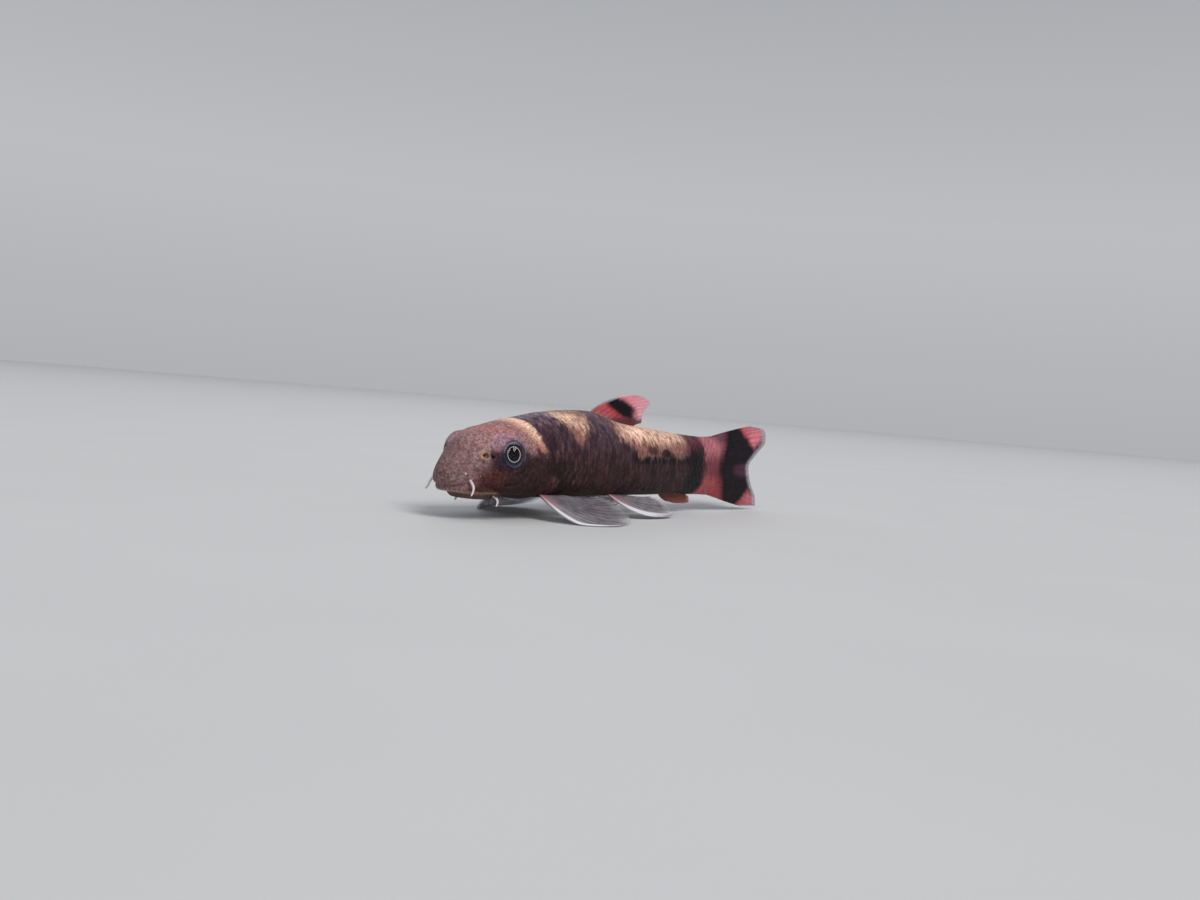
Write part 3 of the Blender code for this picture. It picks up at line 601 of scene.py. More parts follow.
class Term:
    """A socket of a finish under way: a number, vector or colour. Arithmetic on it adds nodes."""

    def __init__(self, finish, socket):
        self.finish = finish
        self.socket = socket

    def combined(self, operation, *terms, **settings):
        settings["operation"] = operation
        return self.finish.node("ShaderNodeMath", settings, dict(enumerate(terms)))

    def __add__(self, other):
        return self.combined("ADD", self, other)

    def __sub__(self, other):
        return self.combined("SUBTRACT", self, other)

    def __rsub__(self, other):
        return self.combined("SUBTRACT", other, self)

    def __mul__(self, other):
        return self.combined("MULTIPLY", self, other)

    def __truediv__(self, other):
        return self.combined("DIVIDE", self, other)

    def __pow__(self, other):
        return self.combined("POWER", self, other)

    def __abs__(self):
        return self.combined("ABSOLUTE", self)

    __radd__ = __add__
    __rmul__ = __mul__

    def at_least(self, least):
        return self.combined("MAXIMUM", self, least)

    def limited(self):
        """The same number, held between 0 and 1."""
        return self.combined("ADD", self, 0.0, use_clamp=True)

    def rise(self, low, high):
        """A smooth rise from 0 at low to 1 at high, or a fall where low is the higher."""
        return self.finish.node("ShaderNodeMapRange", {"interpolation_type": "SMOOTHSTEP"},
                                {"Value": self, "From Min": low, "From Max": high})

    def within(self, low, high, soft):
        """1 between low and high, with soft ends."""
        return self.rise(low - soft, low + soft) * self.rise(high + soft, high - soft)

    def between(self, one, other):
        """One colour turned into another by this share."""
        return self.finish.node("ShaderNodeMix", {"data_type": "RGBA"}, {0: self, 6: one, 7: other}, output=2)

    def scaled(self, amount):
        """This colour made darker or lighter by a factor."""
        return self.finish.node("ShaderNodeVectorMath", {"operation": "SCALE"}, {0: self, 3: amount})

    def joined(self, operation, other):
        """This vector and another, added or multiplied part by part."""
        return self.finish.node("ShaderNodeVectorMath", {"operation": operation}, {0: self, 1: other})

    def stretched(self, *factors):
        return self.joined("MULTIPLY", factors)

    def parts(self):
        """The three numbers of this vector."""
        split = self.finish.node("ShaderNodeSeparateXYZ", {}, {"Vector": self}).socket.node
        return [Term(self.finish, socket) for socket in split.outputs]

    def noise(self, feature, detail=2.0):
        """Soft noise over this place, whose patches are about so many hundredths across."""
        sockets = {"Vector": self, "Scale": 1.0 / (feature * HUNDREDTH), "Detail": detail}
        return self.finish.node("ShaderNodeTexNoise", {}, sockets)

    def cells(self, feature):
        """Distance from this place to the nearest of many scattered points, so many hundredths apart."""
        sockets = {"Vector": self, "Scale": 1.0 / (feature * HUNDREDTH)}
        return self.finish.node("ShaderNodeTexVoronoi", {}, sockets)


class Finish:
    """The nodes of one material."""

    def __init__(self, name, **constants):
        self.material = bpy.data.materials.new(name)
        self.material.use_nodes = True
        self.tree = self.material.node_tree
        self.shader = self.tree.nodes["Principled BSDF"]
        for socket, value in constants.items():
            self.shader.inputs[socket.replace("_", " ")].default_value = value

    def node(self, kind, settings, sockets, output=0):
        made = self.tree.nodes.new(kind)
        for setting, value in settings.items():
            setattr(made, setting, value)
        for socket, value in sockets.items():
            self.fill(made.inputs[socket], value)
        return Term(self, made.outputs[output])

    def fill(self, socket, value):
        if isinstance(value, Term):
            self.tree.links.new(value.socket, socket)
        elif hasattr(value, "__len__") and socket.type == "RGBA":
            socket.default_value = (*tuple(value)[:3], 1.0)
        else:
            socket.default_value = value

    def shade(self, **values):
        for socket, value in values.items():
            self.fill(self.shader.inputs[socket.replace("_", " ")], value)

    def place(self):
        """Object coordinates, as a vector."""
        return self.node("ShaderNodeTexCoord", {}, {}, output=3)

    def noted(self, name):
        """Three numbers that a piece carries on its points, as a vector."""
        return self.node("ShaderNodeAttribute", {"attribute_name": name}, {}, output=1)

    def bump(self, height, depth, strength=1.0, normal=None):
        sockets = {"Height": height, "Distance": depth * HUNDREDTH, "Strength": strength}
        if normal is not None:
            sockets["Normal"] = normal
        return self.node("ShaderNodeBump", {}, sockets)


class Coat:
    """A colour under way. Each layer covers what is there by a share."""

    def __init__(self, share, under, over):
        self.colour = share.between(under, over)

    def lay(self, share, colour):
        self.colour = share.between(self.colour, colour)

    def dim(self, amount):
        self.colour = self.colour.scaled(amount)


def spot(along, height, place, reach, fades=(1.4, 0.4)):
    """A soft round spot at a place along and up."""
    far = ((along - place[0]) / reach[0]) ** 2.0 + ((height - place[1]) / reach[1]) ** 2.0
    return far.rise(*fades)


def body_place(place):
    """Along, side (always positive) and height, in hundredths, of a place in metres."""
    x, y, z = place.parts()
    along = (x - SNOUT_X) / HUNDREDTH
    height = z / HUNDREDTH
    behind = (along - SWEEP_START).at_least(0.0)
    swing = (behind / (TAIL_TIP - SWEEP_START)) ** 2.0 * SWEEP_AT_TAIL_TIP
    side = abs((y - MIDDLE_Y) / HUNDREDTH - swing)
    return along, side, height


def body_colour(place, colours):
    """The colour of the skin and scales: the pale saddles, dark bands, head and red tail root, with the lower
    flanks darker partly as painted shade, and painted shade behind the gill opening.
    """
    along, side, height = body_place(place)
    wander = place.noise(4.0) - 0.5
    ragged = place.noise(1.1) - 0.5
    fine = place.noise(0.40, 3.0) - 0.5
    streaks = place.stretched(1.0, 0.6, 0.22).noise(0.9) - 0.5
    grain = place.stretched(1.0, 0.6, 0.35).noise(0.55, 3.0) - 0.5
    edge = along + wander * 4.4 + ragged * 2.2
    level = height + wander * 2.2 + ragged * 1.4 + streaks * 3.0

    # The lower flank is darker than the upper partly as painted shade, from light falling from above.
    coat = Coat(level.rise(*FLANK_TURNS), colours.lower_flank, colours.upper_flank)
    coat.lay(level.rise(*BACK_TURNS), colours.grey_purple)
    coat.lay(edge.within(*SHEEN, 2.0) * height.rise(14.0, 21.0) * 0.5, colours.grey_purple)
    line = (height + ragged * 1.2).within(*FLANK_LINE, 0.6)
    coat.lay(line * along.rise(50.0, 60.0) * 0.8, colours.black)
    # Painted shade on the lower flank behind the gill opening.
    shade = edge.within(*GILL_SHADE_SPAN, 2.0) * height.rise(15.5, 12.0)
    coat.lay(shade * 0.40, colours.black)

    saddle = edge.rise(*MAIN_SADDLE_FRONT) * edge.rise(*MAIN_SADDLE_BACK)
    foot = along.rise(59.5, 50.0) * MAIN_SADDLE_FRONT_RISE + MAIN_SADDLE_FOOT
    tan = Coat(level.rise(16.6, 20.0), colours.brown_pink, colours.cream)
    tan.lay(edge.rise(56.5, 50.0) * 0.6, colours.brown_pink)
    tan.dim(spot(along, height, *SADDLE_GLOW) * 0.30 + 1.0)
    coat.lay(saddle * (level - foot).rise(-1.2, 1.2), tan.colour)
    coat.lay(spot(edge, level, *SADDLE_CORNER) * 0.7, tan.colour)
    coat.lay(spot(along + ragged, height, *DARK_SPOT) * 0.95, colours.black)
    coat.lay(spot(edge, height, *SADDLE_NOTCH) * 0.8, colours.lower_flank)
    low = height.rise(20.0, 16.5) * streaks.rise(0.02, 0.16) * saddle
    coat.lay(low * 0.55, colours.upper_flank)
    ruddy = edge.within(*RUDDY_SPAN, 1.5) * level.within(16.4, 20.0, 1.0)
    coat.lay(ruddy * 0.45, colours.dark_red)

    half = (level - 16.0) * 0.64 + 0.6
    band = (abs(edge - SECOND_SADDLE) - half).rise(1.5, -1.5) * level.rise(15.6, 18.6)
    mottled = along.rise(37.0, 30.5) * height.rise(24.0, 20.4)
    tan = Coat((level - mottled * 3.0).rise(17.5, 21.0), colours.brown_pink, colours.cream)
    dirt = (streaks + ragged * 0.3).rise(-0.02, 0.14)
    tan.lay(dirt * (mottled * 0.5 + height.rise(22.5, 18.0) * 0.3), colours.upper_flank)
    tan.lay((along + wander * 2.0).rise(33.0, 37.0) * 0.50, colours.brown_pink)
    tan.lay((height + ragged).rise(23.0, 24.0) * 0.85, colours.brown_pink)
    coat.lay(band, tan.colour)

    coat.lay(edge.rise(*TAIL_STALK_BAND) * height.rise(19.5, 14.5) * 0.95, colours.black)
    root = (edge - TAIL_ROOT + abs(height - 12.0) * 0.16).rise(-1.4, 1.4)
    coat.lay(root, tail_red(along, height, wander, colours))
    coat.lay(edge.rise(*SKIN_TAIL_BAND), colours.black)

    patch = spot(along + ragged * 2.0, height + wander * 2.0, *GILL_PATCH)
    coat.lay(patch * (grain + 0.8) * 0.28, colours.brown_pink)
    flecks = along.within(*FLECKED, 4.0) * height.within(7.5, 16.5, 2.0) * grain.rise(0.06, 0.30)
    coat.lay(flecks * 0.22, colours.brown_pink)
    belly = height.rise(5.3, 4.6) * side.rise(6.2, 3.4) * along.rise(88.0, 80.0)
    coat.lay(belly * 0.85, colours.belly)
    calm = 1.0 - root * 0.65
    coat.dim((streaks.rise(-0.28, 0.28) - 0.5) * calm + 1.0)
    coat.dim((grain.rise(-0.3, 0.3) - 0.5) * calm * 0.5 + 1.0)

    face = face_colour(place, colours, along, side, height, wander, ragged)
    coat.lay((edge - HEAD_END - height.rise(20.0, 8.0) * 3.5).rise(1.0, -1.0), face)
    lay_crescent(coat, colours, along, height, ragged, fine)
    pearl = abs(along + ragged * 0.5 - PEARL_ALONG).rise(0.26, 0.04) * height.within(*PEARL_SPAN, 0.5)
    coat.lay(pearl * side.rise(5.0, 7.0) * grain.rise(-0.2, 0.2) * 0.55, colours.pearl)
    coat.dim(fine * 1.5 + 1.0)
    return coat.colour, along


def lay_crescent(coat, colours, along, height, ragged, fine):
    """Lays the pale band that curves down behind the eye."""
    middle = (CRESCENT_TOP - height) * 0.52 + CRESCENT_ALONG
    half = (height - 15.0) * 0.19 + 0.62
    behind = along + ragged * 1.5 - middle
    crescent = (behind - half).rise(0.5, -0.5) * (behind + half).rise(-1.3, 0.6)
    crescent = crescent * (height + ragged).rise(14.3, 15.8)
    warm = behind.rise(0.6, -1.2) * 0.6
    tan = Coat(height.rise(15.5, 18.8), colours.peach, colours.cream)
    tan.lay(warm, colours.peach)
    tan.dim(height.rise(19.4, 20.8) * 0.22 + 1.0)
    coat.lay(crescent, tan.colour.scaled(fine * 0.9 + 1.0))


def tail_red(along, height, wander, colours):
    """The red of the tail's root: pink above, dark in the middle, deep red below, plum at the top edge."""
    smooth = height + wander * 1.5
    red = Coat(smooth.rise(12.6, 17.4), colours.dark_red, colours.pink)
    red.lay(smooth.rise(10.8, 7.6), colours.deep_red)
    red.dim(1.0 - along.rise(97.0, 103.0) * height.rise(17.0, 9.0) * 0.25)
    red.lay((height + (along - 98.0) * 0.22).rise(18.2, 21.0) * 0.75, colours.plum)
    return red.colour


def face_colour(place, colours, along, side, height, wander, ragged):
    """The colour of the head: grey pink snout, rosy crown and dark cheek, all stippled, with a painted
    highlight on the brows, painted shade in the rear nostrils and the mouth's disc darkened as painted shade.
    """
    beside = side.rise(4.5, 6.5)
    level = height + wander * 2.0 + ragged * 1.5
    face = Coat((level - 14.0 + (9.0 - along) * 0.55).rise(0.0, 5.0), colours.cheek, colours.forehead)
    face.lay((along + (level - 12.0) * -0.5).rise(9.0, 5.0), colours.snout)
    face.lay((along + wander * 3.0).rise(4.0, 7.5) * level.rise(11.5, 8.8), colours.cheek)
    face.lay(level.rise(13.6, 16.4) * along.rise(3.0, 7.0) * 0.85, colours.forehead)
    face.lay(spot(along + ragged, height + wander, *CROWN_SPOT) * 0.65, colours.crown)
    face.lay(spot(along + ragged * 2.5, height + ragged * 2.0, *CHEEK_RUST) * 0.3, colours.rust)

    far = ((along - EYE_PLACE[0]) ** 2.0 + (height - EYE_PLACE[2]) ** 2.0) ** 0.5
    over = (height - EYE_PLACE[2]).rise(0.0, 2.2)
    face.lay((far + ragged + over * 0.5).rise(4.7, 3.5) * beside * 0.9, colours.eye_rim)
    # Painted highlight: the lilac band on the brow above each eye stands for light falling on it.
    brow_highlight = far.within(2.6, 4.5, 0.35) * over * side.rise(3.0, 6.0)
    face.lay(brow_highlight * 0.8, colours.brow_highlight)
    bent = height + ragged * 1.6 - (along - 10.0) ** 2.0 * 0.05
    streak = spot(along + wander * 2.0, bent, *RUST_STREAK)
    face.lay(streak * place.noise(0.5).rise(0.35, 0.6) * beside * 0.8, colours.rust)

    back = along - NOSTRIL_PLACE[0]
    up = height - NOSTRIL_PLACE[1]
    ring = (back ** 2.0 + up ** 2.0) ** 0.5
    aside = side.rise(2.6, 3.8)
    face.lay((ring + ragged * 0.3).rise(1.20, 0.90) * aside * 0.8, colours.ring)
    face.lay(ring.rise(0.60, 0.34) * aside * 0.8, colours.rust)
    # Painted shade: black in the rear nostril's pit.
    pit = (((back - BACK_NOSTRIL_BEHIND + 0.15) * 1.5) ** 2.0 + (up + 0.1) ** 2.0) ** 0.5
    face.lay(pit.rise(0.52, 0.30) * aside * 0.9, colours.black)

    dots = place.cells(0.27).rise(0.50, 0.05)
    sparse = place.noise(1.0).rise(0.35, 0.65)
    mottle = place.noise(0.65, 4.0).rise(0.28, 0.72)
    face.dim((dots * (sparse * 0.45 + 0.22) + 0.76) * (mottle * 0.85 + 0.62))
    # Below the lip, the mouth's disc has its brown pink darkened as painted shade.
    lip = (height + ragged * 0.3).rise(6.45, 6.05) * along.rise(12.0, 7.0)
    face.lay(lip * 0.9, height.rise(5.75, 5.35).between(colours.lip, colours.mouth))
    return face.colour


# What a user may change

def colour_setting(name, description, default):
    """A colour, as a setting."""
    return bpy.props.FloatVectorProperty(name=name, description=description, default=default,
                                         subtype="COLOR", size=3, min=0.0, max=1.0)


class GarraColours(bpy.types.PropertyGroup):
    """Colours of the fish."""

    cream: colour_setting("Cream", "Pale saddles and bands", (0.66, 0.425, 0.325))
    peach: colour_setting("Peach", "Lower end of the band behind the eye", (0.38, 0.165, 0.115))
    brown_pink: colour_setting("Brown pink", "Lower edge of the saddles", (0.26, 0.12, 0.095))
    # Upper flank also paints the shadow at the dorsal fin's base.
    upper_flank: colour_setting("Upper flank", "Dark bands of the back", (0.050, 0.026, 0.036))
    # Darker than the upper flank partly as painted shade.
    lower_flank: colour_setting("Lower flank", "Dark lower side", (0.034, 0.015, 0.016))
    grey_purple: colour_setting("Grey purple", "Sheen of the dark band's back", (0.115, 0.070, 0.090))
    # Black also paints shade behind the gill opening and in the rear nostril pits.
    black: colour_setting("Black", "Darkest bands and blotches", (0.006, 0.004, 0.006))
    pink: colour_setting("Pink", "Upper root of the tail", (0.42, 0.14, 0.16))
    dark_red: colour_setting("Dark red", "Middle of the tail's root", (0.17, 0.036, 0.050))
    deep_red: colour_setting("Deep red", "Lower root of the tail", (0.36, 0.070, 0.080))
    eye_rim: colour_setting("Eye rim", "Dark skin round the eyes", (0.040, 0.026, 0.040))
    snout: colour_setting("Snout", "Grey pink of the snout", (0.215, 0.124, 0.124))
    forehead: colour_setting("Forehead", "Rosy top of the head", (0.37, 0.205, 0.205))
    cheek: colour_setting("Cheek", "Dark cheek and gill cover", (0.040, 0.019, 0.021))
    rust: colour_setting("Rust", "Streak below the eye", (0.13, 0.038, 0.026))
    ring: colour_setting("Nostril ring", "Pale ring round the nostril", (0.46, 0.29, 0.22))
    # Painted highlight on the brow above each eye.
    brow_highlight: colour_setting("Brow", "Lilac brow above the eye", (0.40, 0.24, 0.30))
    crown: colour_setting("Crown", "Reddest part of the head's top", (0.50, 0.185, 0.175))
    plum_black: colour_setting("Plum black", "Lighter clouds in the tail's black band", (0.020, 0.008, 0.016))
    plum: colour_setting("Plum", "Purple of the tail's upper edge and middle", (0.105, 0.036, 0.064))
    lip: colour_setting("Lip", "Fold of the lip", (0.34, 0.215, 0.165))
    # Brown pink of the mouth's disc, darkened as painted shade under the lip.
    mouth: colour_setting("Mouth", "Sucking disc and throat", (0.115, 0.075, 0.064))
    belly: colour_setting("Belly", "Underside", (0.50, 0.38, 0.33))
    iris: colour_setting("Iris", "Lighter clouds of the iris", (0.016, 0.018, 0.044))
    iris_dark: colour_setting("Dark iris", "Ground of the iris", (0.004, 0.005, 0.014))
    iris_arc: colour_setting("Iris arc", "Lit arc above the pupil", (0.34, 0.29, 0.31))
    iris_rear: colour_setting("Iris rear", "Reddish arc behind the pupil", (0.09, 0.030, 0.025))
    # Painted highlight below the pupil.
    iris_low_highlight: colour_setting("Iris low", "Bluish arc below the pupil", (0.06, 0.10, 0.13))
    pupil_ring: colour_setting("Pupil ring", "Bright ring round the pupil", (0.55, 0.47, 0.45))
    pupil: colour_setting("Pupil", "The pupil", (0.001, 0.001, 0.001))
    pearl: colour_setting("Pearl", "Line on the gill cover's edge", (0.62, 0.55, 0.55))
    fin_red: colour_setting("Fin red", "Red of the fins", (0.50, 0.078, 0.095))
    fin_root: colour_setting("Fin root", "Brownish front root of the dorsal fin", (0.33, 0.165, 0.155))
    fin_pink: colour_setting("Fin pink", "Pink tips of the fins", (0.86, 0.31, 0.36))
    fin_dusk: colour_setting("Dusky red", "Root of the anal fin", (0.16, 0.060, 0.042))
    fin_hem: colour_setting("Fin hem", "Clear lilac hem of the tail", (0.24, 0.18, 0.26))
    fin_clear: colour_setting("Clear fin", "Grey film of the paired fins", (0.19, 0.175, 0.20))
    fin_shade: colour_setting("Clear fin shade", "Darker clouds in that film", (0.10, 0.088, 0.11))
    fin_light_ray: colour_setting("Light ray", "Rays near the front of the paired fins", (0.46, 0.40, 0.43))
    fin_dark_ray: colour_setting("Dark ray", "Rays near the back of the paired fins", (0.085, 0.070, 0.085))
    fin_white: colour_setting("Fin white", "Leading edges and clear hems", (0.80, 0.80, 0.86))
    feeler: colour_setting("Feeler", "Barbels", (0.62, 0.53, 0.54))


class GarraSizes(bpy.types.PropertyGroup):
    """Sizes and counts of the fish's finer parts."""

    scale_columns: bpy.props.IntProperty(
        name="Scales along", description="Scales in a row from gill to tail", default=34, min=10, max=60)
    scale_rows: bpy.props.IntProperty(
        name="Scale rows", description="Rows of scales round the body", default=28, min=8, max=48)
    ray_thickness: bpy.props.FloatProperty(
        name="Ray thickness", description="Thickness of a fin ray at its root", default=0.00034,
        unit="LENGTH", precision=5)
    membrane_thickness: bpy.props.FloatProperty(
        name="Membrane thickness", description="Thickness of the fins between their rays",
        default=0.00015, unit="LENGTH", precision=5)


# Skin and scales

def mouth_drop(places):
    """How far the underside drops at the mouth's disc, and how far its folds stand out."""
    along, across, height = places.transpose(2, 0, 1) if places.ndim == 3 else places.T
    under = ease(*UNDERSIDE, height)
    reach = np.hypot((along - DISC_ALONG) / DISC_HALF_LENGTH, across / DISC_HALF_WIDTH)
    profile = read_table(DISC_PROFILE, np.clip(reach, 0, DISC_RIM))
    drop = under * ease(DISC_RIM, DISC_RIM - 0.1, reach) * np.clip(height - profile, 0, None)
    folds = 0.0
    for half_length, half_width, spread, amount, width in (LIP_FOLD, LIP_GROOVE, MOUTH_SLIT):
        ahead, beside = (DISC_ALONG - along) / half_length, across / half_width
        off = (np.hypot(ahead, beside) - 1) * (half_length + half_width) / 2
        on_arc = ease(spread + 0.25, spread - 0.05, np.abs(np.arctan2(beside, ahead)))
        folds = folds + amount * on_arc * under * bump(off, width)
    return drop, folds


def round_the_eyes(places):
    """Skin places moved so that the lids hug the eyes and the socket runs down inside them."""
    for side in (-1, 1):
        backward, upward, outward = eye_frame(side)
        away = places - eye_place(side)
        out = away @ outward
        radius = np.hypot(away @ backward, away @ upward)
        near = out > EYE_SIDE_FROM
        ball = EYE_DEPTH * np.sqrt(np.clip(1 - (radius / EYE_RADIUS) ** 2, 0, 1))
        rim = EYE_DEPTH * math.sqrt(1 - (LID_EDGE / EYE_RADIUS) ** 2) + LID_THICKNESS
        over = np.clip(radius - LID_EDGE, 0, None)
        lid = rim + LID_ROUND * (ease(0.0, LID_TURN, over) - 1)
        lid = lid - LID_SLOPE * np.clip(over - LID_TURN, 0, None)
        lid = np.maximum(lid, ball * (radius < EYE_RADIUS) + LID_LEAST)
        hugging = ease(LID_REACH, LID_EDGE + LID_TURN, radius)
        wanted = np.where(radius < LID_EDGE, SOCKET_FLOOR, lid)
        places = places + outward * (near * hugging * (wanted - out))[:, None]
    return places


def nostril_relief(places):
    """How far the skin stands out or sinks at the nostrils."""
    total = np.zeros(len(places))
    for side in (-1, 1):
        place, outward = side_place(*NOSTRIL_PLACE, side)
        away = places - place
        axes = turned_to(outward)
        back, up = away @ axes[0], away @ axes[1]
        near = np.abs(away @ outward) < NOSTRIL_DEEPEST
        radius = np.hypot(back, up)
        rear = np.clip(back / np.maximum(radius, 0.1), 0, 1) ** 2
        ring = (NOSTRIL_RING_PROUD + NOSTRIL_FLAP * rear) * bump(radius - NOSTRIL_RING, NOSTRIL_RING_WIDTH)
        hole = NOSTRIL_DEPTH * ease(NOSTRIL_HOLE + 0.1, NOSTRIL_HOLE - 0.2, radius)
        behind = back - BACK_NOSTRIL_BEHIND
        pit = np.hypot(behind / BACK_NOSTRIL_HALF[0], (up + 0.1) / BACK_NOSTRIL_HALF[1])
        total += near * (ring - hole - NOSTRIL_DEPTH * ease(1.2, 0.5, pit))
    return total


class GARRA_OT_skin(bpy.types.Operator):
    """One skin over head, flanks and tail, with eye sockets, nostrils, gill covers and mouth"""

    bl_idname = "garra.skin"
    bl_label = "Skin"

    def execute(self, context):
        rows = HEAD_ROWS + BODY_ROWS
        piece, across, share = add_grid("skin", SKIN_SIDES, rows)
        row = np.rint(share * rows)
        head_share = np.clip(row / HEAD_ROWS, 0, 1) ** SNOUT_CROWDING
        body_share = np.clip((row - HEAD_ROWS) / BODY_ROWS, 0, 1)
        along = head_share * HEAD_LENGTH
        for _ in range(3):
            edge = gill_opening(turn_at(along, across))
            behind = edge + GILL_STEP + (BODY_END - edge - GILL_STEP) * body_share
            along = np.where(row <= HEAD_ROWS, head_share * edge, behind)
        turn = turn_at(along, across)
        sunk = -SCALE_FRONT_SUNK * SKIN_SUNK_SHARE * ease(0.0, 3.0, along - gill_opening(turn))
        places, outward = body_surface(along, turn, sunk * ease(BODY_END, SCALES_SEAM, along))
        drop, folds = mouth_drop(places)
        places = round_the_eyes(places + outward * (nostril_relief(places) + folds)[:, None])
        places[:, 2] -= drop
        set_points(piece, in_frame(swung(places)))
        piece.data.uv_layers[0].name = "OFBake"
        close_up(piece)
        settle(piece, self.finish(context.scene.garra_colours), "skin", "head", "torso", "tail")
        return {"FINISHED"}

    def finish(self, colours):
        finish = Finish("moist_skin", IOR=1.36, Specular_IOR_Level=0.10, Coat_Roughness=0.12)
        place = finish.place()
        pores = place.noise(0.55, 3.0)
        creases = place.noise(2.2)
        finish.shade(Base_Color=body_colour(place, colours)[0],
                     Roughness=pores.rise(0.2, 0.8) * 0.16 + 0.48,
                     Coat_Weight=creases.rise(0.3, 0.7) * 0.05 + 0.02,
                     Normal=finish.bump(creases, 0.35, 0.4, finish.bump(pores, 0.22, 0.55)))
        return finish.material


class GARRA_OT_scales(bpy.types.Operator):
    """Rows of overlapping scales on the flanks, back and tail root"""

    bl_idname = "garra.scales"
    bl_label = "Scales"

    def execute(self, context):
        sizes = context.scene.garra_sizes
        model = self.one_scale()
        points = points_of(model)
        faces = [tuple(face.vertices) for face in model.data.polygons]
        bpy.data.objects.remove(model)
        back, wide, top = points[:, 0], points[:, 1], points[:, 2]
        step = (SCALES_END - SCALES_SPAN_START) / sizes.scale_columns
        columns, rows = np.meshgrid(np.arange(sizes.scale_columns + 1), np.arange(sizes.scale_rows),
                                    indexing="ij")
        columns, rows = columns.ravel(), rows.ravel()
        share = (rows + 0.5) / sizes.scale_rows
        root = SCALES_FIRST + (columns + 0.5 * (rows % 2)) * step
        turn = turn_at(root, share)
        under = np.abs(share - 0.5)
        chest = (under < CHEST_BARE_SHARE) & (root < CHEST_BARE_UNTIL)
        kept = (root > gill_opening(turn) + SCALES_START) & (root < SCALES_END) & ~chest
        root, share, turn = root[kept], share[kept], turn[kept]
        chance = np.random.default_rng(SCALE_CHANCE).random((len(root), 3))
        size = 1.0 + SCALE_SIZE_SPREAD * (chance[:, 0] - 0.5)
        behind_gill = root - gill_opening(turn)
        size = size * (FIRST_SCALE_SHARE + (1 - FIRST_SCALE_SHARE) * ease(SCALES_START, 8.0, behind_gill))
        length = step * SCALE_LENGTH_SHARE * size
        along = root[:, None] + (back[None] - SCALE_SEAT_BACK) * length[:, None]
        along = np.clip(along, 0, BODY_END - 0.5)
        around = share[:, None] + wide[None] * SCALE_WIDTH_SHARE * size[:, None] / sizes.scale_rows
        full = ease(SCALES_START, 15.0, behind_gill) * ease(97.0, 84.0, root)
        flat = SCALE_FLAT_SHARE + (1 - SCALE_FLAT_SHARE) * full
        lift = -SCALE_FRONT_SUNK * (1 - back) ** 1.1 + SCALE_ROUND * (1 - wide ** 2) - SCALE_ROUND
        lift = lift[None] + SCALE_LIFT_SPREAD * (chance[:, 1:2] - 0.5) * back[None]
        lift = lift + SCALE_THICKNESS * (top[None] - 1)
        deep = SCALE_FRONT_SUNK * SKIN_SUNK_SHARE * (flat[:, None] - 1)
        lift = lift * flat[:, None] + deep * 0.6
        places, _ = body_surface(along, turn_at(along, around), lift)
        points = in_frame(swung(places)).reshape(-1, 3)
        count = len(back)
        every = np.arange(len(root)) * count
        all_faces = (np.array(faces)[None] + every[:, None, None]).reshape(-1, len(faces[0]))
        mesh = bpy.data.meshes.new("scales")
        mesh.from_pydata(points.tolist(), [], all_faces.tolist())
        piece = bpy.data.objects.new("scales", mesh)
        context.scene.collection.objects.link(piece)
        seat, _ = body_surface(root + SEAT_BEHIND * step, turn_at(root, share))
        seat = in_frame(swung(seat))
        note(piece, "seat", np.repeat(seat, count, axis=0))
        form = np.stack([np.broadcast_to(back, along.shape), np.broadcast_to(np.abs(wide), along.shape),
                         np.broadcast_to(chance[:, 2:3], along.shape)], axis=-1)
        note(piece, "form", form.reshape(-1, 3))
        self.unwrap(piece, share, root, back, wide)
        mesh.shade_smooth()
        settle(piece, self.finish(context.scene.garra_colours), "skin")
        return {"FINISHED"}

    def one_scale(self):
        """One scale: round behind, narrower in front, thin, and closed all round."""
        piece, across, along = add_grid("one_scale", SCALE_CELLS, SCALE_CELLS)
        back, wide = along, across * 2 - 1
        behind = (back - SCALE_WIDEST) / (1 - SCALE_WIDEST)
        front = SCALE_FRONT_HALF + (1 - SCALE_FRONT_HALF) * back / SCALE_WIDEST
        half = np.where(back > SCALE_WIDEST, np.sqrt(np.clip(1 - behind ** 2, 0, 1)), front)
        half = np.maximum(half, SCALE_LEAST_HALF)
        tip = 1 - SCALE_TIP_ROUND * wide ** 2 * (back > 0.99)
        set_points(piece, np.stack([back * tip, wide * half, np.zeros(len(back))], axis=-1))
        sheet = piece.modifiers.new("thickness", "SOLIDIFY")
        sheet.thickness = 1.0
        sheet.offset = 1.0
        apply_modifiers(piece)
        return piece

    def unwrap(self, piece, share, root, back, wide):
        """Lays each scale as a tiny patch at its root's place on the skin's own unwrap."""
        corner = np.stack([share, np.clip(root / BODY_END, 0, 1)], axis=-1)[:, None]
        flat = np.stack([wide, back * 2 - 1], axis=-1)[None] * SCALE_PATCH + corner
        layer = piece.data.uv_layers.new(name="OFBake")
        order = np.empty(len(piece.data.loops), np.int32)
        piece.data.loops.foreach_get("vertex_index", order)
        layer.data.foreach_set("uv", flat.reshape(-1, 2)[order].astype(np.float32).ravel())

